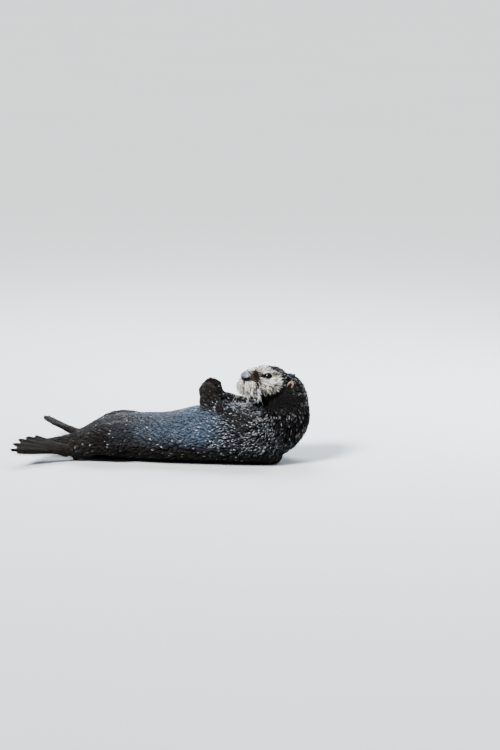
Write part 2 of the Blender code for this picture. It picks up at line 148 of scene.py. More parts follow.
def read(items: bpy.types.bpy_prop_collection, name: str, width: int, kind: type) -> Array:
    """What a mesh's elements hold under a name.

    Args:
        items: Its vertices, edges or triangles.
        name: What to read.
        width: How many values each element has.
        kind: The type in which Blender keeps them.

    Returns:
        One row an element.
    """
    flat = np.empty(len(items) * width, kind)
    items.foreach_get(name, flat)
    return flat.reshape(-1, width)


def points_of(data: bpy.types.Mesh) -> Array:
    """The vertices of a mesh, one a row."""
    return read(data.vertices, "co", 3, np.float32).astype(float)


def set_points(data: bpy.types.Mesh, points: Array) -> None:
    """Moves the vertices of a mesh."""
    data.vertices.foreach_set("co", points.astype(np.float32).ravel())
    data.update()


def triangles_of(data: bpy.types.Mesh) -> Array:
    """The triangles of a mesh, as three vertex numbers a row."""
    data.calc_loop_triangles()
    return read(data.loop_triangles, "vertices", 3, np.int32)


def edges_of(data: bpy.types.Mesh) -> Array:
    """The edges of a mesh, as two vertex numbers a row."""
    return read(data.edges, "vertices", 2, np.int32)


def normals_of(data: bpy.types.Mesh) -> Array:
    """The outward direction at each vertex."""
    return read(data.vertices, "normal", 3, np.float32).astype(float)


def across_surface(vectors: Array, outward: Array) -> Array:
    """The part of each vector that lies along the surface."""
    return vectors - outward * (vectors * outward).sum(axis=-1, keepdims=True)


def even_out(values: Array, edges: Array, rounds: int, share: float = 0.5) -> Array:
    """Values per vertex, averaged with their neighbours along the edges.

    Args:
        values: One row a vertex.
        edges: Two vertex numbers a row.
        rounds: How often.
        share: How far each value moves towards its neighbours' mean.

    Returns:
        The evened values.
    """
    count = len(values)
    ends, others = edges.T.ravel(), edges[:, ::-1].T.ravel()
    degree = np.maximum(np.bincount(ends, minlength=count), 1)
    values = values.copy()
    for _ in range(rounds):
        for column in values.T:
            mean = np.bincount(ends, weights=column[others], minlength=count) / degree
            column += share * (mean - column)
    return values


def nearest_of(points: Array, places: Array) -> Array:
    """Finds the nearest of some points to each place.

    Args:
        points: One a row.
        places: One a row.

    Returns:
        The number of a point for each place.
    """
    tree = KDTree(len(points))
    for index, point in enumerate(points.tolist()):
        tree.insert(point, index)
    tree.balance()
    return np.array([tree.find(place)[1] for place in places.tolist()])


def link(name: str, data: bpy.types.ID) -> bpy.types.Object:
    """Puts a new object with this data in the scene.

    Args:
        name: The object's name.
        data: Its mesh, curve, lamp or lens.

    Returns:
        The object.
    """
    made = bpy.data.objects.new(name, data)
    bpy.context.scene.collection.objects.link(made)
    return made


def object_from(shape: bmesh.types.BMesh, name: str) -> bpy.types.Object:
    """A new shown object, shaded smooth.

    Args:
        shape: Its mesh, which is used up.
        name: The object's name.

    Returns:
        The object.
    """
    data = bpy.data.meshes.new(name)
    shape.to_mesh(data)
    shape.free()
    data.shade_smooth()
    return link(name, data)


def finished(obj: bpy.types.Object) -> bpy.types.Mesh:
    """The object's mesh with its modifiers applied."""
    bpy.context.view_layer.update()
    return bpy.data.meshes.new_from_object(obj.evaluated_get(bpy.context.evaluated_depsgraph_get()))


def add_attribute(data: bpy.types.Mesh, name: str, values: Array) -> None:
    """Stores a number or a colour at each vertex, for the materials to read.

    Args:
        data: The mesh.
        name: What the materials call it.
        values: One number or one colour a vertex.
    """
    kind, what = "FLOAT", "value"
    if values.ndim == 2:
        kind, what = "FLOAT_COLOR", "color"
        values = np.column_stack([values, np.ones(len(values))])
    data.attributes.new(name, kind, "POINT").data.foreach_set(what, values.astype(np.float32).ravel())


def tube(name: str, paths: Iterable[tuple[Array, Array]], sides: int) -> bpy.types.Object:
    """One mesh of round, tapering rods.

    Args:
        name: The object's name.
        paths: For each rod its points, one a row, and its radius at each.
        sides: 0 gives four-sided rods, 1 six-sided and 2 eight-sided ones.

    Returns:
        The object, in place.
    """
    line = bpy.data.curves.new(name, "CURVE")
    line.dimensions = "3D"
    line.bevel_depth = 1.0
    line.bevel_resolution = sides
    line.use_fill_caps = True
    for points, radii in paths:
        spline = line.splines.new("POLY")
        spline.points.add(len(points) - 1)
        spline.points.foreach_set("co", np.c_[points, np.ones(len(points))].astype(np.float32).ravel())
        spline.points.foreach_set("radius", np.asarray(radii, np.float32))
    helper = link(name + "_line", line)
    shape = bmesh.new()
    shape.from_mesh(finished(helper))
    bmesh.ops.remove_doubles(shape, verts=shape.verts, dist=1e-7)
    bmesh.ops.recalc_face_normals(shape, faces=shape.faces)
    bpy.data.objects.remove(helper)
    return object_from(shape, name)


def show(obj: bpy.types.Object, slot: str, finish: bpy.types.Material, *stands_for: str) -> None:
    """Dresses a finished piece and ties it to the body.

    Args:
        obj: The piece.
        slot: Not used.
        finish: Its material.
        stands_for: The solids that it takes the place of.
    """
    obj.data.materials.clear()
    obj.data.materials.append(finish)
    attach(obj, BODY)
    if stands_for:
        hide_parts(*stands_for)
    obj.data.calc_loop_triangles()
    LOG.info("%s: %d triangles", obj.name, len(obj.data.loop_triangles))


# --- anatomy: places read from the frame ---
@dataclass(frozen=True)
class Guide:
    """The line that a part's hair follows, from its root to its tip."""

    points: Array

    def direction(self, places: Array) -> Array:
        """The line's direction beside each place.

        Args:
            places: One a row.

        Returns:
            Unit directions, one a row.
        """
        steps = np.diff(self.points, axis=0)
        middles = (self.points[:-1] + self.points[1:]) / 2
        reach = np.linalg.norm(steps, axis=1).mean()
        away = ((places[:, None, :] - middles[None]) ** 2).sum(axis=2)
        weight = np.exp(-(away - away.min(axis=1, keepdims=True)) / reach**2)
        return unit(weight @ unit(steps))


@dataclass
class Anatomy:
    """Where the otter's features lie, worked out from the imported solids."""

    nodes: dict[str, bpy.types.Object]
    nose_ahead: float = 6.536  # of the eyes' middle, in the head's centimetres
    nose_below: float = 1.039
    eyes_ahead: float = 3.614  # of the head's centre
    eyes_above: float = 1.289
    nose_radii: tuple = (1.05, 2.05, 1.60)
    mouth: tuple = ((9.5, 0.0, -3.5), (8.7, 1.5, -4.8), (7.1, 3.2, -5.3), (5.0, 4.2, -4.7), (3.4, 4.9, -3.8))
    philtrum: tuple = ((10.8, 0.0, -1.1), (10.3, 0.0, -2.1), (9.5, 0.0, -3.5))

    def __post_init__(self) -> None:
        """Reads the solids once."""
        self.points = {name: np.unique(points_of(node.data), axis=0) for name, node in self.nodes.items()}
        left, right = self.middle("eye_left"), self.middle("eye_right")
        across = unit(left - right)
        ahead = self.middle("nose") - (left + right) / 2
        ahead = unit(ahead - across * (ahead @ across))
        rise = np.cross(ahead, across)
        tilt = math.atan2(self.nose_below, self.nose_ahead)
        forward = math.cos(tilt) * ahead + math.sin(tilt) * rise
        up = math.cos(tilt) * rise - math.sin(tilt) * ahead
        self.axes = np.stack([forward, across, up])
        self.head_centre = (left + right) / 2 - CM * (self.eyes_ahead * forward + self.eyes_above * up)
        self.guides = self._guides()

    def mouth_shadow(self, folded: Array) -> Array:
        """1 on the mouth line and the furrow under the nose, falling to 0 beside them."""
        lips = bell(along_line(folded, self.mouth), 0.34)
        return np.maximum(lips, bell(along_line(folded, self.philtrum), 0.24))

    def middle(self, name: str) -> Array:
        """The middle of a solid's box."""
        return np.array(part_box(name)).mean(axis=0)

    def in_head(self, places: Array) -> Array:
        """Places in the head's centimetres: forward, left, up."""
        return (places - self.head_centre) @ self.axes.T / CM

    def nose_middle(self) -> Array:
        """The middle of the nose in the head's centimetres."""
        return self.in_head(self.middle("nose")[None])[0]

    def ear_gap(self, places: Array, side: str) -> Array:
        """How far each place is from an ear's middle."""
        return np.linalg.norm(places - self.middle(f"ear_{side}"), axis=1)

    def from_head(self, places: Array) -> Array:
        """Places given in the head's centimetres, in metres."""
        return self.head_centre + np.asarray(places, float) @ self.axes * CM

    def turned(self, direction: Sequence[float]) -> Array:
        """A direction given on the head's axes."""
        return unit(np.asarray(direction, float) @ self.axes)

    def seam(self, name: str, other: str, share: int = 24) -> Array:
        """The middle of the cut where one solid meets another.

        Args:
            name: The solid.
            other: Its neighbour.
            share: How many of its points count as the cut.

        Returns:
            The middle of the cut.
        """
        mine, theirs = self.points[name], self.points[other]
        gaps = np.array([((theirs - place) ** 2).sum(axis=1).min() for place in mine])
        return mine[np.argsort(gaps)[:share]].mean(axis=0)

    def centreline(self, name: str, along: Array, lengths: int) -> Array:
        """The middles of a solid's cross-sections, in order along a direction.

        Args:
            name: The solid.
            along: The direction.
            lengths: How many slices.

        Returns:
            One middle a slice.
        """
        places = self.points[name]
        reach = places @ along
        marks = np.linspace(reach.min(), reach.max(), lengths + 1)
        slices = [places[(reach >= a) & (reach <= b)] for a, b in zip(marks, marks[1:])]
        return np.array([part.mean(axis=0) for part in slices if len(part)])

    def _guides(self) -> dict[str, Guide]:
        """The line of each part, from where its hair starts to where it ends.

        Returns:
            A guide for each part of FLESH but the head.
        """
        tailward = np.array([-1.0, 0.0, 0.0])
        throat, chest = self.seam("head", "neck"), self.seam("trunk", "neck")
        guides = {
            "neck": Guide(np.array([throat, self.points["neck"].mean(axis=0), chest])),
            "trunk": Guide(np.array([chest, chest + tailward])),
            "tail": Guide(self.centreline("tail", tailward, 5)),
        }
        for leg, foot in (("foreleg", "forepaw"), ("hindleg", "hind_flipper")):
            for side, _ in SIDES:
                upper, lower = f"{leg}_{side}", f"{foot}_{side}"
                joint = self.seam(upper, lower)
                way = unit(joint - chest) if leg == "foreleg" else tailward
                guides[upper] = Guide(self.centreline(upper, way, 4))
                guides[lower] = Guide(np.array([joint, 2 * self.points[lower].mean(axis=0) - joint]))
        return guides

    def lie(self, places: Array, outward: Array, share: Array) -> Array:
        """The way the hair lies at each place: back from the nose, down the neck, and along body and limbs.

        Args:
            places: One a row.
            outward: The skin's outward direction there.
            share: How far each place belongs to each part of FLESH.

        Returns:
            Directions, not yet laid on the skin.
        """
        head = self.in_head(places)
        spread = head * np.array([0.0, 1.0, 1.0]) + np.array([0.0, 0.0, 0.6])
        on_face = ease(4.0, 9.5, head[:, 0])
        droop = ease(0.5, 3.0, np.abs(head[:, 1])) * ease(0.6, -2.4, head[:, 2]) * ease(0.5, 4.5, head[:, 0])
        sweep = ease(4.8, 2.6, head[:, 0]) * bell(head[:, 2] - 0.4, 1.8) * ease(-3.0, 0.0, head[:, 0])
        lay = np.zeros_like(places)
        lay[:, 0] = -1.0
        reach = np.maximum(np.linalg.norm(spread, axis=1, keepdims=True), 0.6)
        lay += spread / reach * (0.25 + on_face)[:, None]
        lay[:, 2] += 0.42 * sweep - 1.5 * droop - 0.7 * ease(-2.0, -6.0, head[:, 0])
        flow = share[:, :1] * unit(lay) @ self.axes
        for index, name in enumerate(FLESH[1:], start=1):
            flow += share[:, index : index + 1] * self.guides[name].direction(places)
        shoulders = share[:, FLESH.index("trunk")] * np.clip(outward[:, 0], 0.0, 1.0)
        flow[:, 2] -= 1.5 * shoulders
        return flow


# --- materials ---
def operator(operation: str, swapped: bool = False) -> Callable[["Number", "float | Number"], "Number"]:
    """An operator of Number that adds one Math node, with its terms swapped for a reflected form."""
    return lambda own, other: own.math(operation, *((other, own) if swapped else (own, other)))


@dataclass(frozen=True)
class Number:
    """A number socket that adds Math nodes when it is used in an expression."""

    graph: "Graph"
    socket: bpy.types.NodeSocket

    def math(self, operation: str, *terms: "float | Number") -> "Number":
        """One Math node over the terms."""
        return self.graph.number("ShaderNodeMath", {"operation": operation}, dict(enumerate(terms)), 0)

    __add__ = __radd__ = operator("ADD")
    __mul__ = __rmul__ = operator("MULTIPLY")
    __sub__ = operator("SUBTRACT")
    __rsub__ = operator("SUBTRACT", swapped=True)

    def ramp(self, low: float, high: float) -> "Number":
        """A smooth ramp from 0 at low to 1 at high."""
        inputs = {"Value": self, "From Min": low, "From Max": high}
        return self.graph.number("ShaderNodeMapRange", {"interpolation_type": "SMOOTHSTEP"}, inputs, "Result")


class Graph:
    """The node tree of one material, with its Principled shader."""

    def __init__(self, name: str) -> None:
        """Starts a material.

        Args:
            name: The material's name.
        """
        self.material = bpy.data.materials.new(name)
        self.material.use_nodes = True
        self.tree = self.material.node_tree
        self.shader = self.tree.nodes["Principled BSDF"]

    def set(self, **constants: float) -> None:
        """Sets constants on the shader's own sockets, named with _ for each space."""
        for socket, value in constants.items():
            self.feed(socket.replace("_", " "), value)

    def add(self, kind: str, settings: dict | None = None, inputs: dict | None = None) -> bpy.types.Node:
        """Adds a node.

        Args:
            kind: The node's type.
            settings: Its properties, which are set first; "stops" are a ramp's places and colours.
            inputs: Values or links of its sockets, by name or number.

        Returns:
            The node.
        """
        node = self.tree.nodes.new(kind)
        for key, value in (settings or {}).items():
            if key != "stops":
                setattr(node, key, value)
                continue
            for _ in value[2:]:
                node.color_ramp.elements.new(0.5)
            for element, (place, colour) in zip(node.color_ramp.elements, value):
                element.position, element.color = place, (*colour, 1.0)
        for key, value in (inputs or {}).items():
            self._set(node.inputs[key], value)
        return node

    def _set(self, socket: bpy.types.NodeSocket, value: object) -> None:
        """Links a socket, or sets its value.

        Args:
            socket: A node's input.
            value: A Number, a socket, a colour or a number.
        """
        if isinstance(value, Number):
            value = value.socket
        if isinstance(value, bpy.types.NodeSocket):
            self.tree.links.new(value, socket)
        elif isinstance(value, tuple) and len(value) == 3 and socket.type == "RGBA":
            socket.default_value = (*value, 1.0)
        else:
            socket.default_value = value

    def feed(self, socket: str, value: object) -> None:
        """Sets or links one of the shader's own sockets, by a name without regard to case."""
        names = {each.name.lower(): each for each in reversed(self.shader.inputs)}
        self._set(names[socket.lower()], value)

    def number(self, kind: str, settings: dict, inputs: dict, output: str | int) -> Number:
        """Adds a node as add does, and takes one number from it."""
        return Number(self, self.add(kind, settings, inputs).outputs[output])

    def place(self) -> bpy.types.NodeSocket:
        """The piece's own coordinates."""
        return self.add("ShaderNodeTexCoord").outputs["Object"]

    def noise(self, scale: float, detail: float = 3.0) -> Number:
        """Noise on the piece's own coordinates, `scale` blotches a metre."""
        inputs = {"Vector": self.place(), "Scale": scale, "Detail": detail}
        return self.number("ShaderNodeTexNoise", {}, inputs, "Fac")

    def cells(self, scale: float) -> Number:
        """Distance to the nearest of `scale` cells a metre."""
        inputs = {"Vector": self.place(), "Scale": scale}
        return self.number("ShaderNodeTexVoronoi", {"feature": "SMOOTH_F1"}, inputs, "Distance")

    def level(self, name: str) -> Number:
        """A number stored at the vertices."""
        return self.number("ShaderNodeAttribute", {"attribute_name": name}, {}, "Fac")

    def markings(self, grain: Number, blotch: Number) -> None:
        """Feeds the stored colours, made lighter and darker.

        Args:
            grain: Fine variation, around 0.
            blotch: Broad variation, around 0.
        """
        shade = grain + blotch + 1.0
        tone = self.add("ShaderNodeCombineColor", {}, {0: shade, 1: shade, 2: shade}).outputs[0]
        stored = self.add("ShaderNodeAttribute", {"attribute_name": "pelt"}).outputs["Color"]
        self.feed("base color", self.mix(stored, tone, 1.0, "MULTIPLY"))

    def mix(self, a: object, b: object, share: object, how: str = "MIX") -> bpy.types.NodeSocket:
        """Two colours mixed.

        Args:
            a: The colour or socket at share 0.
            b: The colour or socket at share 1.
            share: A number or socket.
            how: The blend type.

        Returns:
            The mixed colour's socket.
        """
        node = self.add("ShaderNodeMix", {"data_type": "RGBA", "blend_type": how}, {0: share})
        self._set(node.inputs[6], a)
        self._set(node.inputs[7], b)
        return node.outputs[2]

    def bump(self, height: Number, depth: float, strength: float = 1.0) -> None:
        """Relief from a height, `depth` metres deep."""
        inputs = {"Height": height, "Distance": depth, "Strength": strength}
        self.feed("normal", self.add("ShaderNodeBump", {}, inputs).outputs["Normal"])


@dataclass(frozen=True)
class Finish:
    """A finish of the otter, built by the kinds below."""

    name: str

    def build(self) -> bpy.types.Material:
        """Makes the material.

        Returns:
            The material, as its kind fills it.
        """
        graph = Graph(self.name)
        self.fill(graph)
        return graph.material

    def fill(self, graph: Graph) -> None:
        """Feeds the shader."""
        raise NotImplementedError


@dataclass(frozen=True)
class Pelt(Finish):
    """Hair, glossier where it is wet; its pieces store "pelt", their colours, and "wet", from 0 to 1."""

    dry_roughness: float = 0.62
    wet_roughness: float = 0.24
    fleck: float = 0.35  # how far the fine light and dark flecks go

    def fill(self, graph: Graph) -> None:
        """Fine flecks and broad blotches over the coat's own colours, and a little relief.

        Args:
            graph: The material's nodes.
        """
        graph.set(specular_ior_level=0.20, coat_roughness=0.10)
        wet = graph.level("wet")
        fine = graph.noise(620.0, 4.0)
        graph.markings((fine - 0.5) * (2.0 * self.fleck), (graph.noise(70.0) - 0.5) * 0.5)
        rough = (self.wet_roughness - self.dry_roughness) * wet + self.dry_roughness
        graph.feed("roughness", rough + (fine - 0.5) * 0.16)
        graph.feed("coat weight", wet * wet * 0.5)
        graph.bump(graph.noise(1500.0, 2.0), 0.0003)


@dataclass(frozen=True)
class Hide(Finish):
    """The skin under the coat, in the coat's own markings; it stores what the coat does."""

    name: str = "hide"

    def fill(self, graph: Graph) -> None:
        """Flecked as the coat, with fine short hair as relief.

        Args:
            graph: The material's nodes.
        """
        graph.set(specular_ior_level=0.10)
        fine = graph.noise(900.0, 4.0)
        graph.markings((fine - 0.5) * 0.9, (graph.noise(110.0) - 0.5) * 0.6)
        graph.feed("roughness", 0.80 - graph.level("wet") * 0.12 + (fine - 0.5) * 0.2)
        graph.bump(fine + graph.cells(700.0), 0.0006)


@dataclass(frozen=True)
class Leather(Finish):
    """Bare moist skin, pebbled; its pieces store "hollow", 1 in their deepest and darkest places, much of it
    painted shade.
    """

    high: Colour
    low: Colour
    roughness: float
    pebbles: float  # a metre
    relief: float  # metres

    def fill(self, graph: Graph) -> None:
        """Darker with painted shade, rougher and less wet in the hollows, and darker between the pebbles as
        painted shade in their crevices.

        Args:
            graph: The material's nodes.
        """
        graph.set(specular_ior_level=0.08, coat_roughness=0.18)
        hollow = graph.level("hollow")
        pebble = graph.cells(self.pebbles)
        fine = graph.noise(self.pebbles * 2.2, 4.0)
        worn = graph.mix(self.high, self.low, hollow)
        # painted shade in the crevices between the pebbles, where the relief sinks
        crevice_shade = (pebble * 0.5 + fine * 0.5).ramp(0.35, 0.75) * 0.55
        graph.feed("base color", graph.mix(worn, self.low, crevice_shade))
        graph.feed("roughness", self.roughness + (fine - 0.5) * 0.25 + hollow * 0.30)
        graph.feed("coat weight", 0.55 - hollow * 0.55)
        graph.bump(fine * 0.4 - pebble, self.relief)


@dataclass(frozen=True)
class EyeGloss(Finish):
    """A wet dark eye; the ball stores "off_axis", the angle from where it looks, over 90 degrees."""

    name: str = "eye_gloss"
    pupil: Colour = (0.002, 0.002, 0.002)
    iris: Colour = (0.0070, 0.0042, 0.0030)
    rim: Colour = (0.0035, 0.0028, 0.0025)
    white: Colour = (0.010, 0.0085, 0.0075)

    def fill(self, graph: Graph) -> None:
        """A near-black pupil, a brown iris with fine rays and a darker rim.

        Args:
            graph: The material's nodes.
        """
        graph.set(roughness=0.06, specular_ior_level=0.35, ior=1.38, coat_weight=0.45, coat_roughness=0.02)
        off = graph.level("off_axis")
        rays = graph.noise(1300.0, 5.0)
        colours = (self.pupil, self.pupil, self.iris, self.rim, self.white)
        stops = tuple(zip((0.0, 0.21, 0.26, 0.47, 0.62), colours))
        ramp = graph.add("ShaderNodeValToRGB", {"stops": stops}, {"Fac": off + (rays - 0.5) * 0.05})
        graph.feed("base color", graph.mix(ramp.outputs["Color"], self.rim, rays.ramp(0.35, 0.8) * 0.5))


@dataclass(frozen=True)
class Horn(Finish):
    """Whiskers and claws; their pieces store "along", 0 at the roots and 1 at the tips."""

    root: Colour
    tip: Colour
    roughness: float

    def fill(self, graph: Graph) -> None:
        """Smooth horn, changing along its length and mottled finely.

        Args:
            graph: The material's nodes.
        """
        graph.set(specular_ior_level=0.5, coat_roughness=0.2, coat_weight=0.15)
        mottle = graph.noise(420.0, 3.0)
        tint = graph.mix(self.root, self.tip, graph.level("along"))
        graph.feed("base color", graph.mix(tint, self.root, mottle.ramp(0.45, 0.8) * 0.4))
        graph.feed("roughness", self.roughness + (mottle - 0.5) * 0.2)
        graph.bump(mottle, 0.0001)


@dataclass(frozen=True)
class StudioFloor(Finish):
    """The studio's plain pale floor."""

    name: str = "studio_floor"
    colour: Colour = (0.42, 0.435, 0.445)

    def fill(self, graph: Graph) -> None:
        """The faintest unevenness.

        Args:
            graph: The material's nodes.
        """
        graph.set(roughness=0.85, specular_ior_level=0.2)
        darker = tuple(channel * 0.96 for channel in self.colour)
        graph.feed("base color", graph.mix(self.colour, darker, graph.noise(0.7, 2.0)))


# --- the coat's zones and markings ---
@dataclass(frozen=True)
class Growth:
    """How the hair grows in one zone. Lengths are in millimetres, lift in degrees."""

    depth: float  # from the skin to the animal's outline
    length: float
    width: float
    lift: float
    cling: float  # how far tips are drawn together
    spacing: float  # between locks
    clump: float  # between the points that locks are drawn to
    wet: float
    glint: float  # share of the clumps with pale tips: painted glints on wet hair, partly real silvery tips
    # roots darker than tips: the hair's own darker base, and partly painted shade between the clumps
    root: Colour
    tip: Colour


CREAM: Colour = (0.86, 0.81, 0.72)
SILVER: Colour = (0.58, 0.59, 0.57)
WHITE: Colour = (0.96, 0.955, 0.93)
TAN: Colour = (0.058, 0.044, 0.030)
UMBER: Colour = (0.022, 0.014, 0.010)
BLACK_BROWN: Colour = (0.0050, 0.0044, 0.0044)
RUSSET: Colour = (0.085, 0.036, 0.020)
# painted reflection of a blue sky in wet fur, over the coat's own dark brown
SKY_REFLECTION_SLATE: Colour = (0.088, 0.130, 0.186)
GREY_GREEN: Colour = (0.050, 0.055, 0.048)
INK: Colour = (0.0035, 0.0030, 0.0030)
SOOT: Colour = (0.020, 0.019, 0.020)
FAWN: Colour = (0.20, 0.18, 0.155)
ASH: Colour = (0.20, 0.19, 0.18)
CHESTNUT: Colour = (0.050, 0.025, 0.017)
MAUVE: Colour = (0.22, 0.185, 0.20)
# painted reflection of a blue sky on the chest's wet tips
CHEST_SKY_REFLECTION: Colour = (0.045, 0.060, 0.085)
CHARCOAL: Colour = (0.028, 0.0270, 0.029)


class Zone(Enum):
    """The zones of the coat, each with its growth."""

    MUZZLE = Growth(1.8, 6.0, 0.8, 16, 0.45, 1.10, 3.8, 0.30, 0.0, (0.16, 0.12, 0.085), CREAM)
    PAD = Growth(2.2, 15.0, 0.85, 24, 0.80, 1.15, 5.4, 0.35, 0.0, (0.085, 0.070, 0.058), WHITE)
    CHEEK = Growth(3.4, 14.0, 0.95, 21, 0.78, 1.28, 6.4, 0.30, 0.0, (0.065, 0.052, 0.040), CREAM)
    FOREHEAD = Growth(7.0, 12.0, 0.95, 38, 0.82, 1.38, 6.4, 0.15, 0.0, (0.055, 0.042, 0.032), CREAM)
    CROWN = Growth(5.4, 14.0, 1.3, 26, 0.78, 1.80, 7.6, 0.80, 0.42, BLACK_BROWN, (0.014, 0.012, 0.012))
    # the throat's near-black is the dark brown coat with painted shade under the chin
    THROAT = Growth(3.8, 10.0, 1.4, 12, 0.66, 1.95, 7.0, 0.15, 0.0, INK, (0.0030, 0.0028, 0.0030))
    NECK = Growth(6.8, 19.0, 1.5, 22, 0.80, 2.15, 8.2, 1.00, 0.40, BLACK_BROWN, (0.0090, 0.0082, 0.0088))
    # the chest's light cool tips are partly painted sky reflection and sheen on wet dark fur
    CHEST = Growth(6.4, 14.5, 1.5, 21, 0.79, 2.20, 7.2, 1.00, 0.76, BLACK_BROWN, (0.034, 0.036, 0.042))
    BELLY = Growth(5.0, 11.0, 1.6, 12, 0.62, 2.40, 6.2, 0.90, 0.05, (0.012, 0.014, 0.021), SKY_REFLECTION_SLATE)
    BACK = Growth(5.6, 15.0, 2.1, 15, 0.72, 3.10, 9.6, 0.85, 0.08, BLACK_BROWN, (0.014, 0.0115, 0.0105))
    ARM = Growth(4.2, 11.0, 1.5, 16, 0.73, 2.25, 7.0, 0.80, 0.30, BLACK_BROWN, (0.018, 0.018, 0.021))
    PAW = Growth(2.2, 7.5, 1.2, 15, 0.66, 1.6, 5.4, 0.45, 0.03, (0.0045, 0.004, 0.004), (0.011, 0.0095, 0.01))
    LEG = Growth(4.6, 13.0, 2.0, 15, 0.71, 2.95, 9.0, 0.85, 0.06, BLACK_BROWN, (0.014, 0.0115, 0.0105))
    EAR = Growth(0.0, 3.6, 0.7, 20, 0.50, 1.2, 3.4, 0.25, 0.0, (0.045, 0.034, 0.028), (0.42, 0.36, 0.32))
    FLIPPER = Growth(1.4, 5.0, 1.6, 9, 0.5, 2.5, 5.5, 0.75, 0.0, (0.007, 0.0055, 0.005), (0.016, 0.012, 0.01))
    TAIL = Growth(3.0, 9.0, 1.9, 12, 0.70, 2.75, 7.5, 0.85, 0.04, BLACK_BROWN, (0.017, 0.013, 0.011))


ZONES = tuple(Zone)
ZONE_PARTS = {Zone.NECK: ("neck",), Zone.TAIL: ("tail",)}
for limb_zone, limb in zip((Zone.ARM, Zone.PAW, Zone.LEG, Zone.FLIPPER), LIMBS):
    ZONE_PARTS[limb_zone] = tuple(f"{limb}_{side}" for side, _ in SIDES)
FACE = (Zone.MUZZLE, Zone.PAD, Zone.CHEEK, Zone.FOREHEAD)


def zone_shares(anatomy: Anatomy, places: Array, share: Array) -> Array:
    """How far each place belongs to each zone of the coat.

    Args:
        anatomy: The otter's places.
        places: One a row.
        share: How far each place belongs to each part of FLESH.

    Returns:
        One row a place and one column a zone, each row adding up to one.
    """
    head = anatomy.in_head(places)
    ahead, _, rise = head.T
    ragged = 0.45 * ripple(places, 0.011, 3) + 0.35 * ripple(places, 0.026, 4)
    edge = 0.1 + 3.2 * ease(1.2, 4.2, rise) + 1.0 * np.clip(-0.4 - rise, 0.0, None)
    mask = ease(-0.9, 0.9, ahead - edge + ragged)
    floor_of_mask = -3.3 - 1.5 * ease(4.6, 6.6, ahead)
    lower = ease(0.5, -0.7, rise - floor_of_mask + 0.5 * ragged)
    head_share = of_parts(share, "head")
    pads = sum(near(head, (7.3, side, -3.0), (2.6, 2.6, 2.4)) for side in (2.3, -2.3))
    pads = ease(0.18, 0.50, np.clip(pads, 0, 1)) * ease(3.8, 5.4, ahead)
    muzzle = ease(5.4, 7.0, ahead) * (1.0 - pads)
    brow = ease(1.2, 2.9, rise) * (1.0 - muzzle) * (1.0 - pads)
    pale = head_share * mask * (1.0 - lower)
    under = head_share * ease(-0.6, -2.6, rise) * ease(-5.5, -2.0, ahead) * (1.0 - mask * (1.0 - lower))
    columns = {
        Zone.PAD: pale * pads,
        Zone.MUZZLE: pale * muzzle,
        Zone.FOREHEAD: pale * brow,
        Zone.CHEEK: pale * (1.0 - pads) * (1.0 - muzzle) * (1.0 - brow),
        Zone.THROAT: under,
        Zone.CROWN: np.clip(head_share - pale - under, 0.0, 1.0),
        Zone.EAR: np.zeros(len(places)),
    }
    for zone, names in ZONE_PARTS.items():
        columns[zone] = of_parts(share, *names)
    trunk = of_parts(share, "trunk")
    wrist = anatomy.seam("foreleg_left", "forepaw_left")
    front = ease(-0.03, 0.09, places[:, 0] - wrist[0] + 0.012 * ripple(places, 0.05, 5))
    columns[Zone.CHEST] = trunk * front * ease(0.03, 0.08, places[:, 2])
    columns[Zone.BELLY] = trunk * (1.0 - front) * ease(0.055, 0.100, places[:, 2])
    columns[Zone.BACK] = trunk - columns[Zone.CHEST] - columns[Zone.BELLY]
    table = np.stack([columns[zone] for zone in ZONES], axis=1)
    return table / np.maximum(table.sum(axis=1, keepdims=True), 1e-9)


def of_zones(shares: Array, *zones: Zone) -> Array:
    """How far each place belongs to these zones together."""
    return shares[:, [ZONES.index(zone) for zone in zones]].sum(axis=1)


def of_parts(share: Array, *names: str) -> Array:
    """How far each place belongs to these parts together."""
    return share[:, [FLESH.index(name) for name in names]].sum(axis=1)


def zone_values(shares: Array, name: str) -> Array:
    """A growth value mixed over the zones, one row a place."""
    return shares @ np.array([getattr(zone.value, name) for zone in ZONES], float)


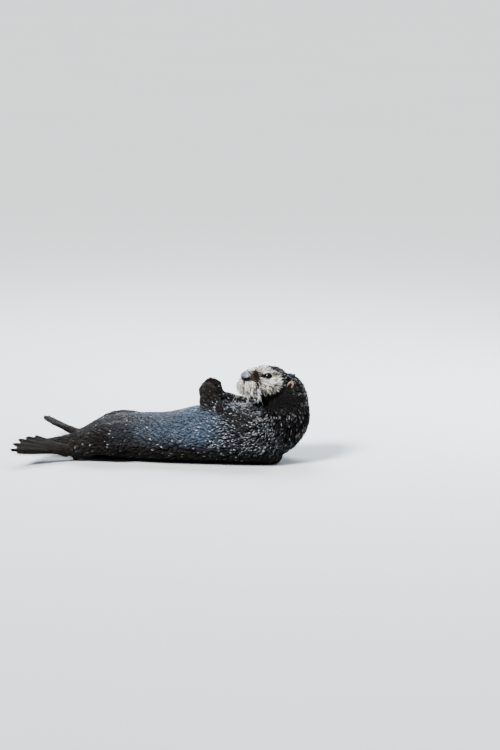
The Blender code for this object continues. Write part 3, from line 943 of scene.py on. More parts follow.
@dataclass
class Markings:
    """The colours that skin and coat share."""

    anatomy: Anatomy
    eyes: "list[Eye]"
    root_dim: float = 0.5  # how dark a marking is at the hair's roots, against its tips
    stripe: tuple = ((7.9, 2.2, 1.7), (7.6, 3.0, 0.0), (7.8, 4.0, -1.4), (8.0, 4.2, -2.2))
    # white spots on the tips near the ears and on the crown: pale hair and painted glints
    pale_and_glint_spots: tuple = (((-2.0, 6.3, 1.5), 0.7), ((-2.3, 3.0, 4.1), 0.6), ((-1.4, 6.9, -0.6), 0.6))

    def paint(self, places: Array, shares: Array, field_name: str) -> Array:
        """Colours at the hair's roots or tips.

        Args:
            places: One a row, on the skin.
            shares: The zones' shares there.
            field_name: "root" or "tip".

        Returns:
            One colour a row.
        """
        colour = zone_values(shares, field_name)
        tips = float(field_name == "tip")
        dim = blend(self.root_dim, 1.0, tips)
        head = fold(self.anatomy.in_head(places))
        for tint, share in self._layers(places, head, shares, tips):
            colour = blend(colour, np.array(tint) * dim, np.clip(share, 0.0, 1.0)[:, None])
        return colour

    def _layers(self, places: Array, head: Array, shares: Array, tips: float) -> list[tuple[Colour, Array]]:
        """The marks that lie over the zones' own colours, among them painted highlights, sky reflections and
        shade.

        Args:
            places: One a row.
            head: The same in the head's centimetres, folded.
            shares: The zones' shares there.
            tips: 1 for the hair's tips and 0 for its roots.

        Returns:
            Tints, each with its share at every place, in the order in which they are laid.
        """
        ahead, _, rise = head.T
        on_face = of_zones(shares, *FACE)
        blotch = ripple(places, 0.008, 6)
        stripe = bell(along_line(head, self.stripe), 1.15)
        low_cheek = ease(2.8, 0.9, ahead - 0.1 - np.clip(-0.4 - rise, 0.0, None)) * ease(-0.2, -1.4, rise)
        behind = ease(3.4, 1.6, ahead) * ease(1.2, 2.2, rise)
        mask = (
            (SILVER, ease(-0.2, 1.4, ripple(places, 0.018, 7)), 0.5),
            (FAWN, ease(0.3, 1.3, ripple(places, 0.0075, 17)), 0.6),
            (TAN, ease(0.22, 0.60, near(head, (8.2, 2.3, 0.4), (1.9, 2.1, 2.5)) + 0.16 * blotch), 0.94),
            (TAN, ease(0.30, 0.70, near(head, (6.2, 2.6, 1.0), (1.6, 1.0, 1.3)) + 0.20 * blotch), 0.8),
            (UMBER, ease(0.30, 0.75, stripe + 0.22 * blotch), 0.97),
            (UMBER, ease(0.40, 0.90, near(head, (5.4, 2.7, 1.2), (1.1, 0.8, 0.7)) + 0.2 * blotch), 0.85),
            (UMBER, ease(0.50, 0.95, near(head, (6.5, 2.0, 2.2), (0.8, 0.7, 0.7)) + 0.3 * blotch), 0.7),
            (WHITE, ease(0.25, 0.7, near(head, (2.7, 5.6, 0.0), (2.9, 1.9, 1.3))), 0.85),
            # white along the bridge's top: pale hair and a painted highlight on the wet hair there
            (WHITE, ease(0.3, 0.8, near(head, (8.4, 0.0, 2.7), (2.6, 1.4, 1.2))), 0.8),
            (UMBER, ease(0.7, 1.5, ripple(places, 0.0065, 8)) * ease(1.2, 3.0, rise), 0.6),
            (UMBER, ease(-0.2, 0.9, ripple(places, 0.010, 14)) * behind, 0.85),
            (GREY_GREEN, low_cheek * ease(-0.9, 0.5, ripple(places, 0.009, 9)), 0.92),
        )
        belly, chest, crown, neck, paw = (
            of_zones(shares, zone) for zone in (Zone.BELLY, Zone.CHEST, Zone.CROWN, Zone.NECK, Zone.PAW)
        )
        wrist = self.anatomy.seam("foreleg_left", "forepaw_left")
        past_wrist = wrist[0] - places[:, 0] + 0.030 * ripple(places, 0.06, 18)
        nape = neck * ease(0.02, 0.08, places[:, 0] - self.anatomy.middle("neck")[0])
        up_paw = ease(0.02, 0.06, places[:, 2] - wrist[2])
        nose = self.anatomy.nose_middle()
        from_nose = (self.anatomy.in_head(places) - nose) / np.array(self.anatomy.nose_radii)
        ring = np.linalg.norm(from_nose, axis=1)
        spots = (ease(0.3, 0.75, near(head, centre, (size,) * 3)) for centre, size in self.pale_and_glint_spots)
        return [
            *((tint, on_face * share * strength) for tint, share, strength in mask),
            *((WHITE, crown * tips * spot * 0.7) for spot in spots),
            (MAUVE, belly * tips * ease(0.5, 1.3, ripple(places, 0.006, 15)) * 0.7),
            (CHARCOAL, ease(0.0, 0.25, belly) * ease(0.02, 0.36, past_wrist) * 0.97),
            # painted sky reflection: a cool blue cast on the chest hair's tips
            (CHEST_SKY_REFLECTION, chest * tips * ease(-0.3, 0.9, ripple(places, 0.03, 16)) * 0.6),
            (RUSSET, nape * ease(-0.4, 1.2, ripple(places, 0.03, 10)) * 0.42),
            (ASH, paw * (1.0 - up_paw) * ease(0.5, 1.2, ripple(places, 0.010, 12)) * 0.6),
            (CHESTNUT, paw * up_paw * ease(-0.3, 1.2, ripple(places, 0.02, 13)) * 0.45),
            *((INK, eye.shadow(places)) for eye in self.eyes),
            (SOOT, ease(1.22, 1.08, ring) * ease(-0.4, 0.2, ahead - nose[0] + 0.9)),
            (INK, self.anatomy.mouth_shadow(head) * ease(0.5, 0.9, on_face) * 0.9),
            (INK, ease(0.2, 0.6, near(head, (10.0, 0.0, -1.9), (0.9, 0.42, 0.75))) * on_face),
        ]


# --- the skin ---
@dataclass
class Eye:
    """One eye: the ball's place, the almond between its lids, and which way they face."""

    centre: Array
    radius: float
    look: Array
    along: Array  # from the inner corner to the outer
    across: Array  # towards the upper lid

    half_length = 10.3 * MM
    upper_arch = 5.3 * MM
    lower_arch = 4.7 * MM
    dark_length = 19.5 * MM
    dark_above = 9.8 * MM
    dark_below = 8.8 * MM

    def opening(self, t: Array) -> Array:
        """The almond's outline in the plane of the lids.

        Args:
            t: Angles round it, from the outer corner towards the upper lid.

        Returns:
            Places along the almond and across it, one a row.
        """
        a = np.cos(t) * self.half_length
        arch = np.where(np.sin(t) > 0, self.upper_arch, self.lower_arch)
        return np.stack([a, np.sign(np.sin(t)) * np.abs(np.sin(t)) ** 1.25 * arch], axis=1)

    def measure(self, places: Array) -> Array:
        """How far each place lies from the middle of the opening.

        Args:
            places: One a row.

        Returns:
            1 on the almond's outline, less inside and more outside.
        """
        away = places - self.centre
        a, b = away @ self.along / self.half_length, away @ self.across
        b = b / np.where(b > 0, self.upper_arch, self.lower_arch)
        bow = np.maximum(1.0 - np.clip(a**2, 0.0, 1.0), 0.0) ** 0.125
        return np.sqrt(a**2 + (b / np.maximum(bow, 0.55)) ** 2)

    def gap(self, places: Array) -> Array:
        """How far each place is from the ball's centre."""
        return np.linalg.norm(places - self.centre, axis=1)

    def shadow(self, places: Array) -> Array:
        """The dark skin and hair round the lids, drawn out to both corners.

        Args:
            places: One a row.

        Returns:
            1 in the shadow and 0 away from it.
        """
        away = places - self.centre
        a, b = away @ self.along, away @ self.across
        b = b - 0.20 * a
        outline = np.hypot(a / self.dark_length, b / np.where(b > 0, self.dark_above, self.dark_below))
        return ease(1.12, 0.90, outline) * (self.gap(places) < 0.03) * (away @ self.look > 0)


def make_eye(anatomy: Anatomy, side: str, sign: float) -> Eye:
    """The eye of one side, seated in its socket.

    Args:
        anatomy: The otter's places.
        side: "left" or "right".
        sign: 1 on the head's left.

    Returns:
        The eye.
    """
    look = anatomy.turned((0.62, 0.72 * sign, 0.22))
    along = anatomy.turned((-0.74, 0.62 * sign, 0.22))
    along = unit(across_surface(along, look))
    across = np.cross(look, along)
    across = across if across @ anatomy.axes[2] > 0 else -across
    radius = float(np.ptp(np.array(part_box(f"eye_{side}")), axis=0).mean() / 2)
    return Eye(anatomy.middle(f"eye_{side}") - look * 1.0 * MM, radius, look, along, across)


@dataclass
class Skin:
    """One skin over all the flesh, inside its outline by the depth of the coat."""

    anatomy: Anatomy
    eyes: list[Eye]
    voxel: float = 4.5 * MM
    close_gap: float = 0.4 * MM
    rounds: int = 5
    brow: tuple = ((4.9, 2.0, 2.5), (3.9, 3.4, 3.1), (2.4, 4.9, 2.9))
    bag: tuple = ((5.2, 3.1, -0.1), (4.0, 4.4, -0.25), (2.7, 5.2, 0.1))
    wrinkles: tuple = tuple(
        ((6.1 + 0.7 * n, 1.0, 2.3 - 0.25 * n), (6.0 + 0.75 * n, 2.2, 1.2 - 0.2 * n)) for n in range(3)
    )

    def build(self) -> bpy.types.Object:
        """Builds the skin and works out how the hair grows on it.

        Returns:
            The skin's object.
        """
        self.obj = self._fuse()
        self._read()
        places = self.places - self.outward * self._depth()[:, None]
        places[:, 2] = np.maximum(places[:, 2], 1.2 * MM)
        set_points(self.obj.data, places)
        self._refine(lambda head: (head[:, 0] > -6.0) & (np.abs(head[:, 1]) < 8.5) & (head[:, 2] > -7.5))
        self._refine(lambda head: (head[:, 0] > 1.8) & (np.abs(head[:, 1]) < 7.0) & (head[:, 2] > -6.5))
        self._smooth_face()
        self._sculpt()
        self._read()
        self._lay_hair()
        return self.obj

    def _fuse(self) -> bpy.types.Object:
        """All the flesh as one closed surface, with the cuts between the solids closed.

        Returns:
            The skin's object.
        """
        shape = bmesh.new()
        for name in (*FLESH, "nose", "eye_left", "eye_right"):
            shape.from_mesh(self.anatomy.nodes[name].data)
        bmesh.ops.remove_doubles(shape, verts=shape.verts, dist=1e-6)
        for side, sign in SIDES:
            root = Vector(self.anatomy.middle(f"ear_{side}") - self.anatomy.turned((0, sign, 0)) * 8 * MM)
            bmesh.ops.create_uvsphere(
                shape, u_segments=20, v_segments=12, radius=11 * MM, matrix=Matrix.Translation(root)
            )
        skin = object_from(shape, "skin")
        displace = skin.modifiers.new("close", "DISPLACE")
        displace.strength = self.close_gap
        displace.mid_level = 0.0
        remesh = skin.modifiers.new("fuse", "REMESH")
        remesh.mode = "VOXEL"
        remesh.voxel_size = self.voxel
        smooth = skin.modifiers.new("ease", "SMOOTH")
        smooth.factor = 0.5
        smooth.iterations = self.rounds
        data = finished(skin)
        skin.modifiers.clear()
        skin.data = data
        return skin

    def _read(self) -> None:
        """Reads the mesh, and finds which part each place belongs to."""
        data = self.obj.data
        self.places, self.outward, self.edges = points_of(data), normals_of(data), edges_of(data)
        corners, faces, owner = [], [], []
        for index, name in enumerate(FLESH):
            node = self.anatomy.nodes[name].data
            faces += (triangles_of(node) + len(corners)).tolist()
            corners += points_of(node).tolist()
            owner += [index] * (len(faces) - len(owner))
        tree = BVHTree.FromPolygons(corners, faces)
        owners = np.array([owner[tree.find_nearest(place)[2]] for place in self.places.tolist()])
        self.share = even_out(np.eye(len(FLESH))[owners], self.edges, 14)
        self.zones = zone_shares(self.anatomy, self.places, self.share)

    def _depth(self) -> Array:
        """How far the skin lies inside the outline, less where the body presses on the floor."""
        pressed = 0.15 + 0.85 * ease(0.0, 0.026, self.places[:, 2])
        return zone_values(self.zones, "depth") * MM * pressed

    def _refine(self, wanted: Callable[[Array], Array]) -> None:
        """Halves the mesh's edges in a part of the head.

        Args:
            wanted: Tells of places in the head's centimetres whether they are in the part to refine.
        """
        shape = bmesh.new()
        shape.from_mesh(self.obj.data)
        picked = wanted(self.anatomy.in_head(points_of(self.obj.data)))
        edges = [edge for edge in shape.edges if picked[edge.verts[0].index] and picked[edge.verts[1].index]]
        bmesh.ops.subdivide_edges(shape, edges=edges, cuts=1, use_grid_fill=True, smooth=0.0)
        bmesh.ops.triangulate(shape, faces=[face for face in shape.faces if len(face.verts) > 4])
        shape.to_mesh(self.obj.data)
        shape.free()

    def _smooth_face(self) -> None:
        """Rounds the steps that halving leaves on the head."""
        data = self.obj.data
        places = points_of(data)
        head = self.anatomy.in_head(places)
        share = ease(-6.5, -5.0, head[:, 0]) * ease(-8.0, -6.5, head[:, 2])
        share *= ease(9.5, 8.5, np.abs(head[:, 1]))
        smooth = even_out(places, edges_of(data), 4)
        set_points(data, blend(places, smooth, share[:, None]))

    def _sculpt(self) -> None:
        """Lids over the eyes, brow folds, the mouth line, the furrow under the nose and the pad's bed."""
        data = self.obj.data
        places, outward = points_of(data), normals_of(data)
        head = fold(self.anatomy.in_head(places))
        push = np.zeros(len(places))
        for line, height, width in (
            (self.anatomy.mouth, -2.6, 0.30),
            (self.anatomy.philtrum, -2.2, 0.24),
            (self.brow, 1.5, 0.55),
            (self.bag, -0.9, 0.22),
            *((wrinkle, -0.6, 0.14) for wrinkle in self.wrinkles),
        ):
            push += height * MM * bell(along_line(head, line), width)
        places = places + outward * push[:, None]
        nose = self.anatomy.nose_middle()
        radii = self.anatomy.nose_radii
        bed = np.hypot(head[:, 1] / radii[1], (head[:, 2] - nose[2]) / radii[2])
        bed = ease(0.90, 0.66, bed) * ease(-0.6, 0.2, head[:, 0] - nose[0])
        places = places - self.anatomy.axes[0] * (bed * 9.0 * MM)[:, None]
        for eye in self.eyes:
            away = places - eye.centre
            reach, way = np.linalg.norm(away, axis=1), unit(away)
            lid = eye.radius + 1.5 * MM
            outer = np.maximum(blend(lid, reach, ease(1.35, 3.1, eye.measure(places))), lid)
            open_to = eye.measure(eye.centre + way * eye.radius) < 0.97
            target = np.where(open_to & (way @ eye.look > 0.2), eye.radius - 2.5 * MM, outer)
            local = ease(-0.1, 0.25, way @ eye.look) * (reach < 0.034)
            places = eye.centre + way * blend(reach, target, local)[:, None]
        set_points(data, places)

    def _lay_hair(self) -> None:
        """The lie of the hair over the whole skin, laid on it and evened, and where it parts."""
        flow = self.anatomy.lie(self.places, self.outward, self.share)
        for _ in range(3):
            flow = even_out(across_surface(flow, self.outward), self.edges, 4)
        self.flow = unit(across_surface(flow, self.outward))
        start, end = self.edges.T
        step = self.places[end] - self.places[start]
        spread = ((self.flow[end] - self.flow[start]) * step).sum(axis=1) / (step**2).sum(axis=1)
        total = np.bincount(start, spread, len(flow)) + np.bincount(end, spread, len(flow))
        degree = np.bincount(start, minlength=len(flow)) + np.bincount(end, minlength=len(flow))
        self.parting = even_out((2.0 * total / np.maximum(degree, 1))[:, None], self.edges, 6)[:, 0]

    def dress(self, markings: Markings) -> None:
        """Colours the skin and shows it in place of the flesh.

        Args:
            markings: The colours.
        """
        root = markings.paint(self.places, self.zones, "root")
        tip = markings.paint(self.places, self.zones, "tip")
        # Mostly the darkened root colour: painted shade where the skin shows between the locks.
        colour = blend(root * 0.8, tip, 0.08 + 0.16 * of_zones(self.zones, Zone.MUZZLE)[:, None])
        add_attribute(self.obj.data, "pelt", colour)
        add_attribute(self.obj.data, "wet", zone_values(self.zones, "wet"))
        self.obj.data.shade_smooth()
        show(self.obj, "body_fur", Hide().build(), *FLESH)


# --- the coat ---
@dataclass
class Roots:
    """Where locks grow, and how."""

    place: Array
    outward: Array
    flow: Array
    zones: Array
    length: Array
    width: Array
    lift: Array
    cling: Array
    clump: Array
    wet: Array
    tone: Array  # a number from 0 to 1 that the locks of a clump share

    def pick(self, chosen: Array) -> "Roots":
        """Only these roots."""
        return Roots(**{name: values[chosen] for name, values in vars(self).items()})


@dataclass(frozen=True)
class Section:
    """One coat piece: its name and slot, the roots it may take, and where they lie on the unwrapped skin."""

    name: str
    slot: str
    inside: Array
    spots: Array


def mixed(values: Array, corners: Array, weight: Array) -> Array:
    """Values inside triangles, from those at their corners."""
    return (values[corners] * weight[:, :, None]).sum(axis=1)


def rolled(a: Array, b: Array, along: Array, lane: Array | float = 0.0) -> Array:
    """Places on an unwrapped tube: the turn about its line, 0 to 1 in its own lane, and the way along it."""
    return np.stack([lane + (np.arctan2(a, b) / (2.0 * math.pi) + 0.5), along], axis=1)


@dataclass
class Coat:
    """The coat: thin closed locks, drawn together into wet points, lying along the body."""

    skin: Skin
    markings: Markings
    ears: list[tuple[Array, Array, Array]]
    sunk: float = 1.05 * MM  # the roots, in the skin
    bow: float = 0.32  # how far a lock's middle stands out, over its tip's height
    thick: float = 0.42  # a lock's height, over its width
    taper: float = 0.82  # its width at the middle, over that at the root
    seek: float = 0.35  # how far along its length a lock looks for its clump
    off_floor: float = 0.4 * MM  # the lowest that any lock reaches
    parting_fill: float = 1.6  # how much denser the roots are where the hair parts
    patch: float = 0.0015  # half the width of a lock's patch on its map
    map_edge: float = 0.02
    # pale colour of the painted glints on the ends of some locks, mostly light caught on wet hair
    glint_silver: Colour = (0.80, 0.83, 0.88)

    def build(self) -> None:
        """Grows the locks and shows them, a piece for each section."""
        dice = np.random.default_rng(RANDOM_SEED)
        roots = self._grow(dice)
        tips = self._tips(roots, dice)
        left = np.ones(len(tips), bool)
        for section in self._sections(roots.place):
            inside = left & section.inside
            left &= ~inside
            self._piece(section, roots.pick(inside), tips[inside], section.spots[inside])

    def _scatter(self, dice: np.random.Generator) -> tuple[Array, ...]:
        """Spreads roots over the skin, as dense as each zone asks and denser where the hair parts.

        Args:
            dice: For their places.

        Returns:
            The roots' places, outward directions, lie, zones and parts of FLESH, one row a root.
        """
        skin = self.skin
        triangles = triangles_of(skin.obj.data)
        corners = skin.places[triangles]
        sides = corners[:, 1:] - corners[:, :1]
        area = np.linalg.norm(np.cross(sides[:, 0], sides[:, 1]), axis=1) / 2
        spacing = zone_values(skin.zones, "spacing") * MM
        parting = skin.parting * zone_values(skin.zones, "length") * MM
        denser = 1.0 + self.parting_fill * np.clip(parting, 0.0, 1.2)
        wanted = np.cumsum(area * denser[triangles].mean(axis=1) / spacing[triangles].mean(axis=1) ** 2)
        count = int(wanted[-1])
        marks = (np.arange(count) + dice.uniform(0.0, 1.0, count)) * wanted[-1] / count
        face = np.minimum(np.searchsorted(wanted, marks), len(triangles) - 1)
        a, b = np.sqrt(dice.uniform(size=count)), dice.uniform(size=count)
        weight = np.stack([1.0 - a, a * (1.0 - b), a * b], axis=1)
        stored = (skin.places, skin.outward, skin.flow, skin.zones, skin.share)
        place, outward, flow, zones, share = (mixed(values, triangles[face], weight) for values in stored)
        keep = self._clear(place)
        return tuple(values[keep] for values in (place, unit(outward), unit(flow), zones, share))

    def _grow(self, dice: np.random.Generator) -> Roots:
        """Grows roots on the skin and on the ears, each with its own length, width and lift.

        Args:
            dice: For all the differences.

        Returns:
            The roots.
        """
        rows = [self._scatter(dice)]
        for ear in self.ears:
            only_ear = np.eye(len(ZONES))[[ZONES.index(Zone.EAR)] * len(ear[0])]
            rows.append((*ear, only_ear, np.zeros((len(ear[0]), len(FLESH)))))
        place, outward, flow, zones, self.root_share = (np.concatenate(column) for column in zip(*rows))
        count = len(place)
        LOG.info("coat: %d locks", count)
        varied = {
            name: zone_values(zones, name) * unit_size * dice.uniform(low, high, count)
            for name, unit_size, low, high in (
                ("length", MM, 0.78, 1.22),
                ("width", MM, 0.8, 1.25),
                ("lift", math.pi / 180.0, 0.7, 1.35),
                ("cling", 1.0, 0.75, 1.15),
            )
        }
        varied["length"] *= self._trim(place)
        varied["cling"] = np.clip(varied["cling"], 0.0, 0.93)
        varied["clump"] = zone_values(zones, "clump") * MM
        varied["wet"] = zone_values(zones, "wet")
        return Roots(place, outward, flow, zones, tone=dice.uniform(size=count), **varied)

    def _trim(self, place: Array) -> Array:
        """How much shorter the hair is near the floor, round the eyes and in front of the ears.

        Args:
            place: The roots' places.

        Returns:
            What to multiply each length by.
        """
        anatomy, share = self.skin.anatomy, blend(0.5, 1.0, ease(0.005, 0.035, place[:, 2]))
        for eye in self.skin.eyes:
            clear = np.maximum(ease(1.7, 3.2, eye.measure(place)), ease(0.024, 0.034, eye.gap(place)))
            share *= blend(0.22, 1.0, clear)
        for side, _ in SIDES:
            before = ease(-0.004, 0.004, (place - anatomy.middle(f"ear_{side}")) @ anatomy.axes[0])
            share *= 1.0 - 0.62 * before * ease(0.030, 0.020, anatomy.ear_gap(place, side))
        return share

    def _fringe(self, place: Array, zones: Array, tone: Array) -> Array:
        """How much longer some clumps hang along the lower edge of the whisker pads.

        Args:
            place: The roots' places.
            zones: Their zones.
            tone: What the locks of a clump share.

        Returns:
            What to multiply each length by.
        """
        head = self.skin.anatomy.in_head(place)
        edge = of_zones(zones, Zone.PAD) * ease(-2.2, -4.2, head[:, 2]) * ease(3.8, 5.4, head[:, 0])
        return 1.0 + edge * (-0.38 + 1.85 * ease(0.55, 0.75, tone))

    def _clear(self, place: Array) -> Array:
        """Finds the places that grow hair: not the lids' rims, the nose pad or inside the ears.

        Args:
            place: One a row.

        Returns:
            True where hair grows.
        """
        anatomy = self.skin.anatomy
        head, nose = anatomy.in_head(place), anatomy.nose_middle()
        pad = (((head - nose) / (np.array(anatomy.nose_radii) - 0.10)) ** 2).sum(axis=1)
        keep = (pad > 1.0) | (head[:, 0] < nose[0] - 0.9)
        keep &= along_line(fold(head), anatomy.philtrum) > 0.20
        for eye in self.skin.eyes:
            keep &= (eye.measure(place) > 1.34) | (eye.gap(place) > 0.02)
        for side, _ in SIDES:
            keep &= anatomy.ear_gap(place, side) > 10.5 * MM
        return keep

    def _tips(self, roots: Roots, dice: np.random.Generator) -> Array:
        """The end of each lock, drawn towards the point of its clump.

        Args:
            roots: The roots, whose lie, tone and wetness are settled here.
            dice: For sway and the choice of clumps.

        Returns:
            One end a lock.
        """
        count = len(roots.place)
        sideways = np.cross(roots.outward, roots.flow)
        sway = dice.normal(0.0, 0.16, count) + 0.22 * ripple(roots.place, 0.022, 21)
        roots.flow = unit(roots.flow + sideways * sway[:, None])
        chance = (zone_values(roots.zones, "spacing") * MM / roots.clump) ** 2
        leaders = np.flatnonzero(dice.uniform(size=count) < chance)
        ahead = roots.place + roots.flow * roots.length[:, None] * self.seek
        clump_of = leaders[nearest_of(ahead[leaders], ahead)]
        roots.tone = roots.tone[clump_of]
        roots.wet = roots.wet * blend(0.30, 1.0, ease(0.45, 0.70, roots.tone))
        longer = self._fringe(roots.place, roots.zones, roots.tone)
        points = self._ends(roots, roots.length * 1.12 * longer)
        points += sideways * (dice.normal(0.0, 0.10, count) * roots.length)[:, None]
        return blend(self._ends(roots, roots.length * longer), points[clump_of], roots.cling[:, None])

    def _ends(self, roots: Roots, length: Array) -> Array:
        """Where locks of this length end."""
        lean = roots.flow * np.cos(roots.lift)[:, None] + roots.outward * np.sin(roots.lift)[:, None]
        return roots.place + lean * length[:, None]

    def _piece(self, section: Section, roots: Roots, tips: Array, spots: Array) -> None:
        """Makes one section's locks, their colours and their map, and shows them.

        Args:
            section: The section.
            roots: Its roots.
            tips: Its locks' ends.
            spots: Where they lie on the unwrapped skin.
        """
        count = len(roots.place)
        dice = np.random.default_rng(RANDOM_SEED + len(section.name))
        bow = roots.length * np.sin(roots.lift) * self.bow
        middle = blend(roots.place, tips, 0.52) + roots.outward * bow[:, None]
        sideways = unit(np.cross(roots.outward, roots.flow))
        width = roots.width[:, None]
        base = roots.place - roots.outward * self.sunk
        rings = []
        for centre, wide in ((base, 1.0), (middle, self.taper)):
            rings += [centre - sideways * width * 0.5 * wide, centre + sideways * width * 0.5 * wide]
            rings.append(centre + roots.outward * width * self.thick * wide)
        points = np.stack([*rings, tips], axis=1)
        points[:, :, 2] = np.maximum(points[:, :, 2], self.off_floor)
        faces = (np.arange(count)[:, None, None] * LOCK_POINTS + np.array(LOCK_FACES)[None]).reshape(-1, 3)
        flat = points.reshape(-1, 3)
        corners = flat[faces[: len(LOCK_FACES)]]
        if (np.cross(corners[:, 0], corners[:, 1]) * corners[:, 2]).sum() < 0:
            faces = faces[:, ::-1]
        data = bpy.data.meshes.new(section.name)
        data.vertices.add(len(flat))
        data.vertices.foreach_set("co", flat.astype(np.float32).ravel())
        data.loops.add(faces.size)
        data.loops.foreach_set("vertex_index", faces.astype(np.int32).ravel())
        data.polygons.add(len(faces))
        data.polygons.foreach_set("loop_start", np.arange(0, faces.size, 3, dtype=np.int32))
        data.update(calc_edges=True)
        data.shade_smooth()
        self._colour(data, roots, dice)
        self._map(data, spots, faces)
        show(link(section.name, data), section.slot, Pelt(section.name + "_pelt").build())

    def _colour(self, data: bpy.types.Mesh, roots: Roots, dice: np.random.Generator) -> None:
        """Darker roots, partly painted shade between the clumps, paler tips, painted glints on the ends of
        some clumps, and variation from clump to clump.

        Args:
            data: The mesh of the locks.
            roots: Their roots.
            dice: For the differences.
        """
        count = len(roots.place)
        root = self.markings.paint(roots.place, roots.zones, "root")
        lies = roots.place + roots.flow * (roots.length * 0.6)[:, None]
        tip = self.markings.paint(lies, roots.zones, "tip")
        # Painted glints: pale ends on some locks of some clumps stand in for highlights on wet hair.
        share = zone_values(roots.zones, "glint") * self._lit(roots.place)
        glint = (roots.tone + share > 1.0) * ease(0.60, 0.42, dice.uniform(size=count))
        glint *= 0.35 + 0.65 * ((roots.tone * 37.0) % 1.0)
        end = blend(tip * 1.1, np.array(self.glint_silver), glint[:, None])
        face = of_zones(roots.zones, *FACE[1:])
        vary = blend(1.0 + 0.55 * (roots.tone - 0.5), 0.40 + 0.92 * ease(0.10, 0.52, roots.tone), face)
        vary += dice.normal(0.0, 0.14, count)
        vary = np.clip(vary + 0.12 * ripple(roots.place, 0.012, 31), 0.35, 1.7)[:, None]
        # Roots darker than tips: the hair's darker base, and partly painted shade between the clumps.
        shades = np.stack([root * 0.6] * 3 + [blend(root, tip, 0.55)] * 3 + [end], axis=1)
        shades = np.clip(shades * vary[:, :, None], 0.0, 0.96)
        add_attribute(data, "pelt", shades.reshape(-1, 3))
        add_attribute(data, "wet", np.repeat(roots.wet, LOCK_POINTS))

    def _lit(self, place: Array) -> Array:
        """How much of the painted glint stays: least on the nape and towards the back."""
        return blend(1.0, 0.30, np.maximum(ease(0.455, 0.495, place[:, 0]), ease(0.04, 0.10, place[:, 1])))

    def _map(self, data: bpy.types.Mesh, root: Array, faces: Array) -> None:
        """Gives each lock a small patch at its root's place on the unwrapped skin.

        Args:
            data: The mesh of the locks.
            root: Where each root lies on the unwrapped skin.
            faces: The mesh's triangles.
        """
        span = np.maximum(root.max(axis=0) - root.min(axis=0), 1e-9)
        root = self.map_edge + (root - root.min(axis=0)) / span * (1.0 - 2.0 * self.map_edge)
        turns = np.radians([90.0, 210.0, 330.0])
        spokes = np.stack([np.cos(turns), np.sin(turns)], axis=1)
        offsets = np.concatenate([spokes * self.patch, spokes * self.patch * 0.6, [[0.0, 0.0]]])
        spots = (root[:, None] + offsets[None]).reshape(-1, 2)
        layer = data.uv_layers.new(name="OFBake")
        layer.data.foreach_set("uv", spots[faces.ravel()].astype(np.float32).ravel())

    def _sections(self, place: Array) -> list[Section]:
        """The coat's pieces, in the order in which they take their roots.

        Args:
            place: All the roots' places.

        Returns:
            The sections.
        """
        anatomy, share = self.skin.anatomy, self.root_share
        x, y, z = place.T
        ahead, side, rise = anatomy.in_head(place).T
        trunk, tail, neck = (anatomy.middle(name) for name in ("trunk", "tail", "neck"))
        ear = anatomy.in_head(anatomy.middle("ear_left")[None])[0]
        from_ear = side - np.where(side < 0, -ear[1], ear[1])
        limb = rolled(np.abs(y) - 0.05, z - 0.05, x - z, np.where(y < 0, 0.0, LANE))
        lane = np.digitize(y, (tail[1] - 0.045, tail[1] + 0.045))
        from_limb = y - np.array((-0.13, tail[1], 0.13))[lane]
        body = rolled(y - trunk[1], z - trunk[2], x)
        face = rolled(side, rise, ahead)
        of_head, of_trunk, of_neck = (of_parts(share, name) > 0.5 for name in ("head", "trunk", "neck"))
        of_arm = of_parts(share, *ZONE_PARTS[Zone.ARM], *ZONE_PARTS[Zone.PAW]) > 0.5
        of_flipper = of_parts(share, *ZONE_PARTS[Zone.FLIPPER]) > 0.5
        front, high = x > trunk[0], z > 0.07
        rows = (
            ("ears", "ear", share.sum(axis=1) < 0.5,
             rolled(ahead - ear[0], from_ear, rise - ear[2], np.where(side < 0, 0.0, LANE))),
            ("muzzle", "head_fur", of_head & (ahead > 4.6), face),
            ("face", "head_fur", of_head & (ahead > -0.5), face),
            ("crown", "head_fur", of_head, rolled(ahead, side, rise)),
            ("arms", "paw_fur", of_arm, limb),
            ("neck", "neck_fur", of_neck, rolled(x - neck[0], y - neck[1], z)),
            ("chest", "body_fur", of_trunk & front & high, body),
            ("shoulders", "body_fur", of_trunk & front, body),
            ("belly", "body_fur", of_trunk & high, rolled(y - trunk[1], z - trunk[2] + 0.05, x)[:, ::-1]),
            ("back", "body_fur", of_trunk, body),
            ("flippers", "flipper_fur", of_flipper, limb),
            ("rear", "body_fur", np.ones(len(place), bool), rolled(from_limb, z - 0.03, x, LANE * lane)),
        )  # fmt: skip
        return [Section(f"coat_{name}", slot, inside, spots) for name, slot, inside, spots in rows]


# --- eyes, nose, ears ---
def ball(
    radii: Array, axes: Array, centre: Array, around_it: int, rows: int
) -> tuple[bmesh.types.BMesh, Array]:
    """A ball to be shaped: its mesh in place, and each vertex's direction on the ball's own axes.

    Args:
        radii: Along its own three axes.
        axes: Those axes, one a row.
        centre: Its place.
        around_it: Segments round it.
        rows: Rows from pole to pole.

    Returns:
        The mesh, and one direction a vertex.
    """
    shape = bmesh.new()
    bmesh.ops.create_uvsphere(shape, u_segments=around_it, v_segments=rows, radius=1.0)
    directions = np.array([vert.co[:] for vert in shape.verts])
    place_all(shape, centre + directions * radii @ axes)
    return shape, directions


def place_all(shape: bmesh.types.BMesh, places: Array) -> None:
    """Moves every vertex of a bmesh."""
    for vert, place in zip(shape.verts, places.tolist()):
        vert.co = place


